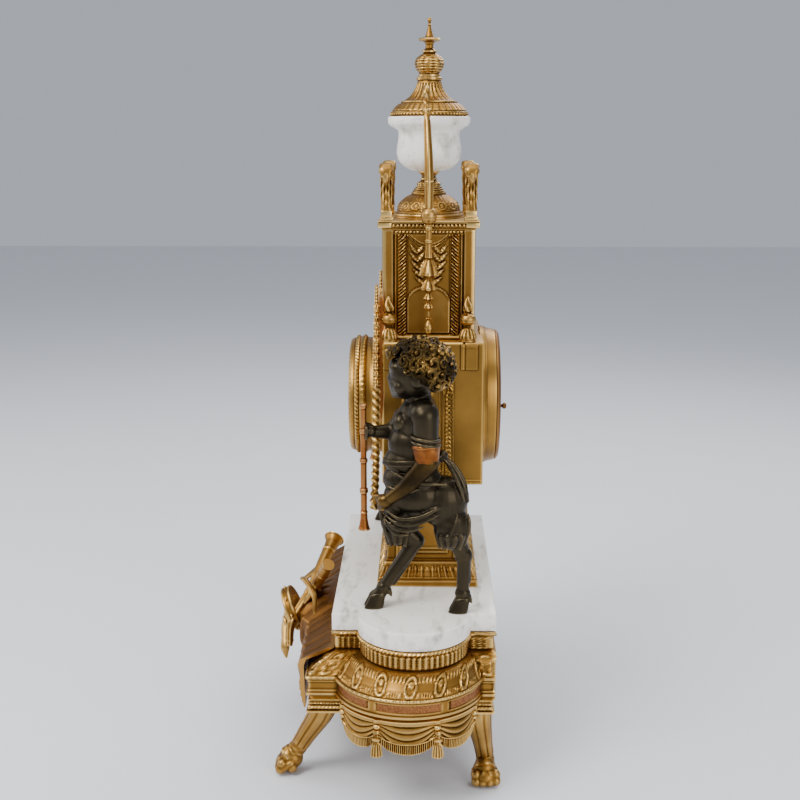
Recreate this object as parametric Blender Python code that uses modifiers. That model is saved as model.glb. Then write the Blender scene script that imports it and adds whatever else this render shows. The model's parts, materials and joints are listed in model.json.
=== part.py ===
"""Mantel clock with two fauns: cast brass case, marble base and urn, wound eight-day movement.

Frame: +Z up, the dial faces -Y, X runs along the clock's width. The code builds everything round the
marble slab's centre, and at the end moves the origin under the middle of the whole clock. Blender
units are metres.
"""

import math

import bmesh
import bpy
from mathutils import Matrix, Vector

MM = 0.001
GAP = 0.3 * MM  # kept between faces that rest on, or fit round, each other
RUNNING = 0.12 * MM  # radial clearance of an arbor in its hole

# Heights of the stack, from the floor up
FOOT_HEIGHT = 66 * MM
PLINTH_HEIGHT = 60 * MM
MARBLE_THICKNESS = 14 * MM
PEDESTAL_HEIGHT = 82 * MM
CASE_HEIGHT = 114 * MM
TOWER_HEIGHT = 85 * MM
CORNICE_HEIGHT = 7 * MM
DOME_HEIGHT = 24 * MM
URN_FOOT_HEIGHT = 12 * MM
URN_BOWL_HEIGHT = 42 * MM
URN_LID_HEIGHT = 30 * MM
FINIAL_HEIGHT = 45 * MM

# Marble slab: a rectangle with a round lobe at each end
MARBLE_WIDTH = 251 * MM
MARBLE_DEPTH = 125 * MM
LOBE_RADIUS = 43 * MM
LOBE_SETBACK = 3 * MM  # lobe centre inside the slab's end face
MARBLE_EDGE = 1.5 * MM

# Plinth under the slab
PLINTH_WALL = 3 * MM
PLINTH_SPREAD = 15 * MM  # how far the band stands out past the slab at the ends
FRONT_EXTRA = 4 * MM  # further spread of the band at the front
BACK_INSET = 1.5 * MM  # the band's flat back lies this far inside the slab's
SPREAD_SHIFT = 4 * MM  # the band's lobes sit this far forward of the slab's
LOBE_RAISE = 10 * MM  # the band ends this much higher under a lobe than at the corner blocks
APRON_DROP = 24 * MM
APRON_WALL = 2.5 * MM
TASSEL_RADIUS = 3 * MM

# Case, pedestal and tower stand behind the slab's centre line
TOWER_Y = 10 * MM
SHELL_WALL = 3 * MM
PEDESTAL_WIDTH = 136 * MM
PEDESTAL_DEPTH = 80 * MM
PEDESTAL_NECK = 92 * MM
CASE_WIDTH = 120 * MM
CASE_DEPTH = 76 * MM
CASE_BACK_DEPTH = 12 * MM
TOWER_WIDTH = 88 * MM
TOWER_DEPTH = 73 * MM
CORNICE_OVERHANG = 3 * MM
WEB_THICKNESS = 4 * MM

# Urn and dome
DOME_RADIUS = 28 * MM
DOME_WALL = 2.5 * MM
URN_LIP_RADIUS = 32.7 * MM
URN_BELLY_RADIUS = 25.7 * MM
URN_FOOT_RADIUS = 9.2 * MM
ROD_RADIUS = 2.5 * MM
NUT_RADIUS = 6 * MM

# Corner scrolls, shoulder urns, handles and hanging drops
SCROLL_HEIGHT = 44 * MM
SCROLL_WIDTH = 10.5 * MM
SHOULDER_URN_HEIGHT = 35 * MM
SHOULDER_URN_RADIUS = 5.8 * MM
HANDLE_RADIUS = 2.4 * MM
DROP_RADIUS = 6 * MM

# Drum, dial and doors
DRUM_RADIUS = 48 * MM
DRUM_WALL = 2.2 * MM
DRUM_FRONT = -41 * MM  # Y of the drum's front rim
BEZEL_DEPTH = 12 * MM
BEZEL_OPENING = DRUM_RADIUS - 7 * MM
GLASS_THICKNESS = 2 * MM
GLASS_BULGE = 7 * MM
DIAL_THICKNESS = 1.5 * MM
REAR_RING_DEPTH = 11 * MM
REAR_RING_RADIUS = DRUM_RADIUS + 9 * MM
COVER_RADIUS = DRUM_RADIUS + 5.5 * MM
COVER_THICKNESS = 3 * MM
HINGE_RADIUS = 1.6 * MM
PIN_RADIUS = 0.7 * MM

# Movement
PLATE_RADIUS = DRUM_RADIUS - 6 * MM
PILLAR_REACH = PLATE_RADIUS - 8 * MM  # from the clock's axis
PLATE_THICKNESS = 2 * MM
PLATE_SPACE = 28 * MM  # between the two plates
FRONT_PLATE_Y = -30 * MM  # front face of the front plate
ARBOR_RADIUS = 1.2 * MM
WINDING_RADIUS = 2 * MM
BARREL_MODULE = 0.98 / 48 * DRUM_RADIUS
TRAIN_MODULE = 0.7 / 48 * DRUM_RADIUS
BARREL_TEETH, CENTRE_PINION_TEETH = 28, 7
CENTRE_TEETH, THIRD_PINION_TEETH = 30, 6
CANNON_TEETH, MINUTE_TEETH = 8, 24
MINUTE_PINION_TEETH, HOUR_TEETH = 6, 24
THIRD_TEETH = 20
BARREL_ANGLE = math.radians(-25)
THIRD_ANGLE = math.radians(60)
BELL_RADIUS = DRUM_RADIUS - 18 * MM
BALANCE_RADIUS = 9 * MM

# Fauns
FAUN_X = MARBLE_WIDTH / 2 - 10.5 * MM
FAUN_HEIGHT = 209 * MM
FAUN_UNIT = FAUN_HEIGHT / 209  # faun() and what it holds are measured in these

# Levels worked out from the stack
PLINTH_Z = FOOT_HEIGHT
PLINTH_TOP = PLINTH_Z + PLINTH_HEIGHT
MARBLE_Z = PLINTH_TOP + GAP
MARBLE_TOP = MARBLE_Z + MARBLE_THICKNESS
PEDESTAL_Z = MARBLE_TOP + GAP
PEDESTAL_TOP = PEDESTAL_Z + PEDESTAL_HEIGHT
CASE_Z = PEDESTAL_TOP + GAP
CASE_TOP = CASE_Z + CASE_HEIGHT
AXIS_Z = CASE_Z + CASE_HEIGHT / 2 + 4 * MM
TOWER_Z = CASE_TOP + GAP
TOWER_TOP = TOWER_Z + TOWER_HEIGHT
CORNICE_Z = TOWER_TOP + GAP
CORNICE_TOP = CORNICE_Z + CORNICE_HEIGHT
DOME_Z = CORNICE_TOP + GAP
DOME_TOP = DOME_Z + DOME_HEIGHT
URN_FOOT_Z = DOME_TOP + GAP
URN_BOWL_Z = URN_FOOT_Z + URN_FOOT_HEIGHT + GAP
URN_LID_Z = URN_BOWL_Z + URN_BOWL_HEIGHT + GAP
FINIAL_Z = URN_LID_Z + URN_LID_HEIGHT + GAP
CASE_FRONT_Y = TOWER_Y - CASE_DEPTH / 2 + 2 * MM
CASE_SPLIT_Y = CASE_FRONT_Y + CASE_DEPTH - CASE_BACK_DEPTH
CASE_BACK_Y = CASE_FRONT_Y + CASE_DEPTH
DRUM_BACK = CASE_BACK_Y
HANDLE_X = TOWER_WIDTH / 2 + CORNICE_OVERHANG + DROP_RADIUS + GAP
RING_BACK_Y = CASE_BACK_Y + REAR_RING_DEPTH
COVER_HINGE_Y = RING_BACK_Y + GAP + COVER_THICKNESS / 2
BACK_PLATE_Y = FRONT_PLATE_Y + PLATE_THICKNESS + PLATE_SPACE
BARREL_DISTANCE = BARREL_MODULE * (BARREL_TEETH + CENTRE_PINION_TEETH) / 2
THIRD_DISTANCE = TRAIN_MODULE * (CENTRE_TEETH + THIRD_PINION_TEETH) / 2
MOTION_DISTANCE = TRAIN_MODULE * (CANNON_TEETH + MINUTE_TEETH) / 2
HOUR_MODULE = 2 * MOTION_DISTANCE / (MINUTE_PINION_TEETH + HOUR_TEETH)
PLATE_BACK = FRONT_PLATE_Y + PLATE_THICKNESS
HINGE_Y = DRUM_FRONT - 1.9 * MM
HOUR_HAND_Y = DRUM_FRONT - 1.5 * MM
MINUTE_HAND_Y = DRUM_FRONT - 4 * MM

# Arbors that stand off the clock's axis, as (x, z) from it
THIRD_CENTRE = (THIRD_DISTANCE * math.cos(THIRD_ANGLE), THIRD_DISTANCE * math.sin(THIRD_ANGLE))
MINUTE_CENTRE = (0.0, MOTION_DISTANCE)
BALANCE_CENTRE = (DRUM_RADIUS / 3, DRUM_RADIUS / 2.4)
HAMMER_CENTRE = (-(BELL_RADIUS + 3.7 * MM), -20 * MM)

PARTS = None
CUTTERS = None
MATERIALS = {}


# ---------------------------------------------------------------- helpers
def clear_scene():
    for obj in list(bpy.data.objects):
        bpy.data.objects.remove(obj)


def new_collection(name):
    collection = bpy.data.collections.new(name)
    bpy.context.scene.collection.children.link(collection)
    return collection


def add_material(name, colour, metallic, roughness):
    material = bpy.data.materials.new(name)
    material.use_nodes = True
    shader = material.node_tree.nodes["Principled BSDF"]
    shader.inputs["Base Color"].default_value = (*colour, 1.0)
    shader.inputs["Metallic"].default_value = metallic
    shader.inputs["Roughness"].default_value = roughness
    material.diffuse_color = (*colour, 1.0)
    MATERIALS[name] = material


def add_part(name, mesh, material):
    """Puts a finished mesh in the parts collection under its node name."""
    obj = bpy.data.objects.new(name, mesh)
    mesh.materials.clear()
    mesh.materials.append(MATERIALS[material])
    mesh.shade_smooth()
    mesh.set_sharp_from_angle(angle=math.radians(35))
    PARTS.objects.link(obj)
    return obj


def mesh_from(bm, name="shape"):
    mesh = bpy.data.meshes.new(name)
    bm.to_mesh(mesh)
    bm.free()
    return mesh


def helper(mesh, name="shape"):
    """A hidden object that only cuts or joins others."""
    obj = bpy.data.objects.new(name, mesh)
    obj.hide_render = True
    obj.display_type = "WIRE"
    CUTTERS.objects.link(obj)
    return obj


def evaluated_mesh(obj):
    """The object's mesh with its modifiers applied, in world space and with its caps welded."""
    bpy.context.view_layer.update()
    graph = bpy.context.evaluated_depsgraph_get()
    mesh = bpy.data.meshes.new_from_object(obj.evaluated_get(graph))
    mesh.transform(obj.matrix_world)
    bm = bmesh.new()
    bm.from_mesh(mesh)
    bmesh.ops.remove_doubles(bm, verts=bm.verts, dist=0.000001)
    bm.to_mesh(mesh)
    bm.free()
    return mesh


def combine(base, others, operation, solver="EXACT"):
    """The mesh of base after a Boolean with each of the others, one at a time."""
    body = helper(base, "body")
    tools = [helper(mesh, "tool") for mesh in others]
    for tool in tools:
        modifier = body.modifiers.new("boolean", "BOOLEAN")
        modifier.operation = operation
        modifier.solver = solver
        modifier.object = tool
    result = evaluated_mesh(body)
    for obj in [body, *tools]:
        bpy.data.objects.remove(obj)
    return result


def union(base, *others):
    return combine(base, others, "UNION")


def geared(base, *others):
    """A union for wheels on arbors, whose many matching angles the exact solver fails on."""
    return combine(base, others, "UNION", "MANIFOLD")


def cut(base, *others):
    return combine(base, others, "DIFFERENCE")


def box(low, high, bevel=0.0):
    """A box between two corners, with its edges rounded by bevel."""
    bm = bmesh.new()
    bmesh.ops.create_cube(bm, size=1.0)
    size = Vector(high) - Vector(low)
    bmesh.ops.scale(bm, vec=size, verts=bm.verts)
    bmesh.ops.translate(bm, vec=(Vector(low) + Vector(high)) / 2, verts=bm.verts)
    if bevel:
        bmesh.ops.bevel(bm, geom=bm.edges[:], offset=bevel, segments=1, affect="EDGES")
    return mesh_from(bm)


def cylinder(start, end, radius, sides=24, end_radius=None):
    """A cylinder or cone from one point to another."""
    start, end = Vector(start), Vector(end)
    along = end - start
    turn = along.to_track_quat("Z", "Y").to_matrix().to_4x4()
    bm = bmesh.new()
    bmesh.ops.create_cone(
        bm,
        cap_ends=True,
        segments=sides,
        radius1=radius,
        radius2=radius if end_radius is None else end_radius,
        depth=along.length,
        matrix=Matrix.Translation((start + end) / 2) @ turn,
    )
    return mesh_from(bm)


def ellipsoid(centre, radii, direction=None, segments=8, rings=6):
    """An ellipsoid whose third radius points along direction."""
    bm = bmesh.new()
    bmesh.ops.create_uvsphere(bm, u_segments=segments, v_segments=rings, radius=1.0)
    turn = Matrix.Identity(4)
    if direction is not None:
        turn = Vector(direction).to_track_quat("Z", "Y").to_matrix().to_4x4()
    place = Matrix.Translation(centre) @ turn @ Matrix.Diagonal((*radii, 1.0))
    bmesh.ops.transform(bm, matrix=place, verts=bm.verts)
    return mesh_from(bm)


def limb(start, end, radius, end_radius, segments=7):
    """A tapered limb with round ends: a ball whose upper half is carried to the far end."""
    start, end = Vector(start), Vector(end)
    along = end - start
    bm = bmesh.new()
    bmesh.ops.create_uvsphere(bm, u_segments=segments, v_segments=4, radius=1.0)
    for vert in bm.verts:
        upper = vert.co.z > -0.01
        vert.co *= end_radius if upper else radius
        if upper:
            vert.co.z += along.length
    turn = along.to_track_quat("Z", "Y").to_matrix().to_4x4()
    bmesh.ops.transform(bm, matrix=Matrix.Translation(start) @ turn, verts=bm.verts)
    return mesh_from(bm)


def turned(profile, centre, axis="Z", steps=32):
    """Turns a profile of (radius, height), run from top to bottom outside, round an axis through centre."""
    bm = bmesh.new()
    points = [bm.verts.new((radius, 0.0, height)) for radius, height in profile]
    for first, second in zip(points, points[1:]):
        bm.edges.new((first, second))
    obj = helper(mesh_from(bm), "profile")
    screw = obj.modifiers.new("turn", "SCREW")
    screw.axis = "Z"
    screw.steps = screw.render_steps = steps
    screw.use_merge_vertices = True
    screw.merge_threshold = 0.00001
    turn = Matrix.Identity(4)
    if axis == "-Y":
        turn = Matrix.Rotation(math.radians(90), 4, "X")
    if axis == "Y":
        turn = Matrix.Rotation(math.radians(-90), 4, "X")
    obj.matrix_world = Matrix.Translation(centre) @ turn
    mesh = evaluated_mesh(obj)
    bpy.data.objects.remove(obj)
    return mesh


def tube(points, radii, sides=2, cyclic=False):
    """A round bar along points, with its own radius at each point."""
    curve = bpy.data.curves.new("bar", "CURVE")
    curve.dimensions = "3D"
    curve.bevel_depth = 1.0
    curve.bevel_resolution = sides
    curve.use_fill_caps = True
    spline = curve.splines.new("POLY")
    spline.points.add(len(points) - 1)
    for place, point, radius in zip(spline.points, points, radii):
        place.co = (*point, 1.0)
        place.radius = radius
    spline.use_cyclic_u = cyclic
    obj = helper(curve, "bar")
    mesh = evaluated_mesh(obj)
    bpy.data.objects.remove(obj)
    return mesh


def flat(outline, thickness, holes=(), bevel=0.0):
    """A flat plate in the XY plane, centred on Z = 0, from an outline and the outlines of its holes."""
    curve = bpy.data.curves.new("plate", "CURVE")
    curve.dimensions = "2D"
    curve.fill_mode = "BOTH"
    curve.extrude = thickness / 2 - bevel
    curve.bevel_depth = bevel
    curve.bevel_resolution = 0
    curve.offset = -bevel
    for loop in [outline, *holes]:
        spline = curve.splines.new("POLY")
        spline.points.add(len(loop) - 1)
        for place, point in zip(spline.points, loop):
            place.co = (point[0], point[1], 0.0, 1.0)
        spline.use_cyclic_u = True
    obj = helper(curve, "plate")
    mesh = evaluated_mesh(obj)
    bpy.data.objects.remove(obj)
    return mesh


def moved(mesh, matrix):
    mesh.transform(matrix)
    return mesh


def facing_front(mesh, x, y, z):
    """Stands a plate made in XY upright, its outline's +Y up and its face to -Y."""
    return moved(mesh, Matrix.Translation((x, y, z)) @ Matrix.Rotation(math.radians(90), 4, "X"))


def smooth_path(points, per_span=4):
    """Points along a Catmull-Rom curve through the given ones."""
    points = [Vector(point) for point in points]
    ends = [2 * points[0] - points[1], *points, 2 * points[-1] - points[-2]]
    path = []
    for before, start, end, after in zip(ends, ends[1:], ends[2:], ends[3:]):
        for step in range(per_span):
            t = step / per_span
            path.append(
                0.5
                * (
                    2 * start
                    + (end - before) * t
                    + (2 * before - 5 * start + 4 * end - after) * t * t
                    + (3 * start - before - 3 * end + after) * t * t * t
                )
            )
    return [*path, points[-1]]


def blend_values(values, count):
    """The values spread evenly over count places, with straight steps between them."""
    spread = []
    for index in range(count):
        place = index * (len(values) - 1) / (count - 1)
        low = min(int(place), len(values) - 2)
        spread.append(values[low] + (values[low + 1] - values[low]) * (place - low))
    return spread


def mirror_x(mesh):
    """The same piece for the clock's other side."""
    bm = bmesh.new()
    bm.from_mesh(mesh)
    bmesh.ops.scale(bm, vec=(-1.0, 1.0, 1.0), verts=bm.verts)
    bmesh.ops.reverse_faces(bm, faces=bm.faces)
    return mesh_from(bm)


def add_pair(name, mesh, material):
    """A piece on the right, as made, and its mirrored fellow on the left."""
    other = mirror_x(mesh)
    add_part(name + "_right", mesh, material)
    add_part(name + "_left", other, material)


# ---------------------------------------------------------------- base
def plan_outline(spread, arc_steps=8):
    """The base's plan, spread out past the slab's edges but not at the flat back.

    It runs anticlockwise from the back right corner.
    """
    share = max(spread, 0.0) / PLINTH_SPREAD
    end_x = MARBLE_WIDTH / 2 + spread
    back_y = MARBLE_DEPTH / 2 + min(spread, -BACK_INSET * share)
    front_y = -MARBLE_DEPTH / 2 - spread - FRONT_EXTRA * share
    radius = LOBE_RADIUS + spread
    centre_x = MARBLE_WIDTH / 2 - LOBE_SETBACK
    centre_y = -SPREAD_SHIFT * share
    limit = math.acos((end_x - centre_x) / radius)
    right = [
        (centre_x + radius * math.cos(angle), centre_y + radius * math.sin(angle))
        for angle in (limit - 2 * limit * step / arc_steps for step in range(arc_steps + 1))
    ]
    right = [(end_x, back_y), *right, (end_x, front_y)]
    left = [(-x, y) for x, y in reversed(right)]
    return list(reversed(right + left))


def marble_top():
    mesh = flat(plan_outline(0.0), MARBLE_THICKNESS, bevel=MARBLE_EDGE)
    mesh.transform(Matrix.Translation((0, 0, MARBLE_Z + MARBLE_THICKNESS / 2)))
    hole = cylinder((0, TOWER_Y, MARBLE_Z - GAP), (0, TOWER_Y, MARBLE_TOP + GAP), ROD_RADIUS + GAP)
    add_part("marble_top", cut(mesh, hole), "marble")


def plinth_tiers():
    """(spread, height above the plinth's foot) down the outside of the moulding."""
    h = PLINTH_HEIGHT
    s = PLINTH_SPREAD
    return [
        (-1.0 * MM, h),
        (-1.0 * MM, h - 3 * MM),
        (-3.0 * MM, h - 4 * MM),
        (-3.0 * MM, h - 16 * MM),
        (0.0, h - 18 * MM),
        (0.45 * s, h - 22 * MM),
        (0.85 * s, h - 27 * MM),
        (s, h - 32 * MM),
        (0.93 * s, h - 34 * MM),
        (0.93 * s, h - 48 * MM),
        (0.85 * s, h - 52 * MM),
        (0.85 * s, h - 55 * MM),
        (s, h - 57 * MM),
        (s, 0.0),
    ]


def plinth_inside():
    """(spread, height above the plinth's foot) up the inside, a wall's thickness or more from the outside."""
    h, s, w = PLINTH_HEIGHT, PLINTH_SPREAD, PLINTH_WALL
    return [
        (s - w, 0.0),
        (s - w, h - 57 * MM),
        (0.85 * s - w, h - 55 * MM),
        (0.85 * s - w, h - 52 * MM),
        (0.93 * s - w, h - 48 * MM),
        (0.93 * s - w, h - 32 * MM),
        (0.53 * s, h - 27 * MM),
        (0.13 * s, h - 23 * MM),
        (-3.0 * MM - w, h - 20 * MM),
        (-3.0 * MM - w, h - w),
    ]


def plinth_casting():
    """One hollow casting, open below: the moulding lofted down the outside, and its wall up the inside."""
    bm = bmesh.new()
    rings = []
    for spread, height in plinth_tiers():
        rings.append([bm.verts.new((x, y, PLINTH_Z + height)) for x, y in plan_outline(spread)])
    inside_back = MARBLE_DEPTH / 2 - BACK_INSET - PLINTH_WALL
    for spread, height in plinth_inside():
        ring = [(x, min(y, inside_back)) for x, y in plan_outline(spread)]
        rings.append([bm.verts.new((x, y, PLINTH_Z + height)) for x, y in ring])
    for first, second in zip(rings, rings[1:]):
        for index in range(len(first)):
            after = (index + 1) % len(first)
            bm.faces.new((first[index], second[index], second[after], first[after]))
    bm.faces.new(rings[0])
    bm.faces.new(rings[-1])
    bmesh.ops.recalc_face_normals(bm, faces=bm.faces)
    mesh = mesh_from(bm)
    low, high = PLINTH_TOP - 2 * PLINTH_WALL, PLINTH_TOP + GAP
    hole = cylinder((0, TOWER_Y, low), (0, TOWER_Y, high), ROD_RADIUS + GAP)
    near = MARBLE_WIDTH / 2 + PLINTH_SPREAD - 0.5 * MM
    reach = LOBE_RADIUS + PLINTH_SPREAD
    undercuts = []
    for side in (-1, 1):
        ends = sorted((side * near, side * (near + reach)))
        undercuts.append(
            box(
                (ends[0], -reach - SPREAD_SHIFT, PLINTH_Z - 1 * MM),
                (ends[1], reach - SPREAD_SHIFT, PLINTH_Z + LOBE_RAISE),
            )
        )
    add_part("plinth_casting", cut(mesh, hole, *undercuts), "brass")


def apron():
    """The draped apron under a lobe: a curved sheet with three scallops and two tassels."""
    radius = LOBE_RADIUS + 0.93 * PLINTH_SPREAD - PLINTH_WALL / 2
    centre_x = MARBLE_WIDTH / 2 - LOBE_SETBACK
    top = PLINTH_Z + LOBE_RAISE - GAP
    limit = math.radians(62)
    steps = 18
    bm = bmesh.new()
    rows = []
    for step in range(steps + 1):
        angle = -limit + 2 * limit * step / steps
        swag = abs(math.sin(1.5 * math.pi * (1 + angle / limit)))
        depth = APRON_DROP * (0.35 + 0.65 * math.sqrt(swag)) * (1 - 0.25 * abs(angle) / limit)
        x = centre_x + radius * math.cos(angle)
        y = -SPREAD_SHIFT + radius * math.sin(angle)
        rows.append([bm.verts.new((x, y, top - depth * share)) for share in (0.0, 0.5, 1.0)])
    for first, second in zip(rows, rows[1:]):
        for level in range(2):
            bm.faces.new((first[level], first[level + 1], second[level + 1], second[level]))
    bmesh.ops.recalc_face_normals(bm, faces=bm.faces)
    sheet = helper(mesh_from(bm), "sheet")
    wall = sheet.modifiers.new("wall", "SOLIDIFY")
    wall.thickness = APRON_WALL
    wall.offset = 0.0
    mesh = evaluated_mesh(sheet)
    bpy.data.objects.remove(sheet)
    tassels = []
    for side in (-1, 1):
        angle = side * limit / 3
        x = centre_x + radius * math.cos(angle)
        y = -SPREAD_SHIFT + radius * math.sin(angle)
        low = top - 1.15 * APRON_DROP
        tassels.append(cylinder((x, y, low), (x, y, top - 3 * MM), TASSEL_RADIUS, 12))
    return union(mesh, *tassels)


def foot(top, paw, swing):
    """A cabriole leg from the plinth's corner block down to a paw that rests flat on the floor.

    swing is the horizontal direction in which the leg springs out.
    """
    top, paw, swing = Vector(top), Vector(paw), Vector(swing)
    drop = top.z - paw.z
    knee = top - Vector((0, 0, 0.22 * drop)) + swing * 2 * MM
    shin = top.lerp(paw, 0.55) - swing * 3 * MM
    ankle = paw + Vector((0, 0, 9 * MM)) - swing * 7 * MM
    path = smooth_path([top, knee, shin, ankle, paw], 3)
    radii = blend_values([10 * MM, 9 * MM, 6 * MM, 6.5 * MM, 7 * MM], len(path))
    leg = tube(path, radii, 1)
    pad = ellipsoid(paw, (12.5 * MM, 12.5 * MM, 12 * MM), None, 12, 8)
    plate = box(top + Vector((-10 * MM, -10 * MM, -4 * MM)), top + Vector((10 * MM, 10 * MM, 0)))
    body = union(leg, pad, plate)
    floor = box((paw.x - 0.06, paw.y - 0.06, -0.05), (paw.x + 0.06, paw.y + 0.06, 0.0))
    above = top.z
    ceiling = box((top.x - 0.05, top.y - 0.05, above), (top.x + 0.05, top.y + 0.05, above + 0.05))
    return cut(body, floor, ceiling)


def feet():
    end_x = MARBLE_WIDTH / 2 + PLINTH_SPREAD
    front_y = -MARBLE_DEPTH / 2 - PLINTH_SPREAD - FRONT_EXTRA
    top = PLINTH_Z - GAP
    inset = 12.5 * MM
    front = foot(
        (end_x - inset - 12 * MM, front_y + inset, top),
        (end_x - inset - 20 * MM, front_y - 16 * MM, 11 * MM),
        (0, -1, 0),
    )
    rear = foot(
        (end_x - inset - 7 * MM, MARBLE_DEPTH / 2 - inset, top),
        (end_x - inset - 4 * MM, MARBLE_DEPTH / 2 - inset + 4 * MM, 11 * MM),
        (1, 0, 0),
    )
    add_pair("foot_front", front, "brass")
    add_pair("foot_rear", rear, "brass")


def drapery(grow=0.0):
    """Cast cloth that bulges over the plinth's front, grown all round for fitting others to it."""
    half = 46 * MM + grow
    face = -MARBLE_DEPTH / 2
    levels = [
        (PLINTH_TOP - 14 * MM, face + 1.5 * MM, 15 * MM, 0.80),
        (PLINTH_TOP - 20 * MM, face - 7 * MM, 20 * MM, 0.90),
        (PLINTH_TOP - 27 * MM, face - PLINTH_SPREAD - 3 * MM, 14 * MM, 0.98),
        (PLINTH_Z + 29 * MM, face - PLINTH_SPREAD - 5 * MM, 13 * MM, 1.00),
        (PLINTH_Z + 12 * MM, face - PLINTH_SPREAD - 5 * MM, 12 * MM, 0.96),
        (PLINTH_Z - 6 * MM, face - PLINTH_SPREAD - 5 * MM, 8 * MM, 0.82),
        (PLINTH_Z - 18 * MM, face - PLINTH_SPREAD - 5 * MM, 4 * MM, 0.55),
    ]
    columns = 13
    bm = bmesh.new()
    grid = []
    for z, back, bulge, width in levels:
        row = []
        for column in range(columns):
            across = -1 + 2 * column / (columns - 1)
            fold = 1 + 0.10 * math.cos(column * math.pi)
            front = back - grow - bulge * fold * math.sqrt(1 - 0.85 * across**2)
            row.append(bm.verts.new((half * width * across, front, z)))
        back_row = [bm.verts.new((half * width * side, back + grow, z)) for side in (1, -1)]
        grid.append(row + back_row)
    for upper, lower in zip(grid, grid[1:]):
        for index in range(len(upper)):
            after = (index + 1) % len(upper)
            bm.faces.new((upper[index], upper[after], lower[after], lower[index]))
    bm.faces.new(grid[0])
    bm.faces.new(grid[-1])
    bmesh.ops.recalc_face_normals(bm, faces=bm.faces)
    return mesh_from(bm)


def trophy_casting():
    """Tambourine, pan pipes, horn and flute cast as one group that lies over the slab's front edge."""
    face = -MARBLE_DEPTH / 2
    top = MARBLE_TOP
    drum_back, drum_face = (6 * MM, face - 43 * MM, top - 44 * MM), (6 * MM, face - 36 * MM, top - 41 * MM)
    drum = cylinder(drum_back, drum_face, 20 * MM, 20)
    horn_path = smooth_path(
        [
            (-44 * MM, face - 9 * MM, top + 12 * MM),
            (-24 * MM, face - 15 * MM, top - 4 * MM),
            (4 * MM, face - 27 * MM, top - 28 * MM),
            (22 * MM, face - 41 * MM, top - 48 * MM),
            (26 * MM, face - 44 * MM, top - 70 * MM),
        ],
        4,
    )
    horn = tube(horn_path, blend_values([7 * MM, 6 * MM, 5 * MM, 4 * MM, 2 * MM], len(horn_path)), 1)
    flute = tube(
        [(44 * MM, face - 7 * MM, top + 18 * MM), (-26 * MM, face - 42 * MM, top - 66 * MM)],
        [4.5 * MM, 3.5 * MM],
        1,
    )
    pipes = box((-15 * MM, face - 40 * MM, top - 44 * MM), (16 * MM, face - 12 * MM, top - 16 * MM), 2 * MM)
    group = union(pipes, drum, horn, flute)
    behind = box((-60 * MM, face - PLINTH_SPREAD - 7 * MM, 0), (60 * MM, 0, PLINTH_TOP - 20 * MM))
    add_part("trophy_casting", cut(group, drapery(GAP), behind), "brass")


# ---------------------------------------------------------------- pedestal, case and tower
def frustum(low, high, z_low, z_high):
    """A block whose plan changes from one (half width, half depth, centre Y) to another."""
    bm = bmesh.new()
    rings = []
    for (half_x, half_y, mid_y), z in ((low, z_low), (high, z_high)):
        corners = ((-1, -1), (1, -1), (1, 1), (-1, 1))
        rings.append([bm.verts.new((half_x * a, mid_y + half_y * b, z)) for a, b in corners])
    lower, upper = rings
    for index in range(4):
        after = (index + 1) % 4
        bm.faces.new((lower[index], lower[after], upper[after], upper[index]))
    bm.faces.new(reversed(lower))
    bm.faces.new(upper)
    return mesh_from(bm)


def rod_hole(z_low, z_high):
    return cylinder((0, TOWER_Y, z_low), (0, TOWER_Y, z_high), ROD_RADIUS + GAP, 16)


def pedestal_casting():
    """Moulded foot, tapered waist and spreading neck, hollow and open below."""
    half_x, half_y = PEDESTAL_WIDTH / 2, PEDESTAL_DEPTH / 2
    neck = PEDESTAL_NECK / 2
    foot_top = PEDESTAL_Z + 5 * MM
    waist = PEDESTAL_Z + 16 * MM
    neck_z = PEDESTAL_TOP - 6 * MM

    def level(narrow_x, narrow_y):
        return (half_x - narrow_x, half_y - narrow_y, TOWER_Y)

    step = half_x - neck  # from the foot's half width in to the neck's
    tiers = [
        (level(0, 0), level(0, 0), PEDESTAL_Z, foot_top),
        (level(1 * MM, 1 * MM), level(step - 6 * MM, 5 * MM), foot_top, waist),
        (level(step - 5 * MM, 6 * MM), level(step, 7 * MM), waist, neck_z),
        (level(step, 7 * MM), level(step - 4 * MM, 3 * MM), neck_z, PEDESTAL_TOP),
    ]
    sunk = 0.5 * MM  # neighbouring tiers run into each other by this much
    blocks = [
        frustum(low, high, z_low - (sunk if index else 0), z_high)
        for index, (low, high, z_low, z_high) in enumerate(tiers)
    ]
    outside = union(*blocks)
    inner = neck - SHELL_WALL
    inner_y = half_y - 7 * MM - SHELL_WALL
    hollow = box(
        (-inner, TOWER_Y - inner_y, PEDESTAL_Z - 1 * MM),
        (inner, TOWER_Y + inner_y, PEDESTAL_TOP - WEB_THICKNESS),
    )
    hole = rod_hole(PEDESTAL_TOP - 2 * WEB_THICKNESS, PEDESTAL_TOP + 1 * MM)
    add_part("pedestal_casting", cut(outside, hollow, hole), "brass")


def drum_bore(radius, y_low, y_high, sides=32):
    return cylinder((0, y_low, AXIS_Z), (0, y_high, AXIS_Z), radius, sides)


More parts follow.
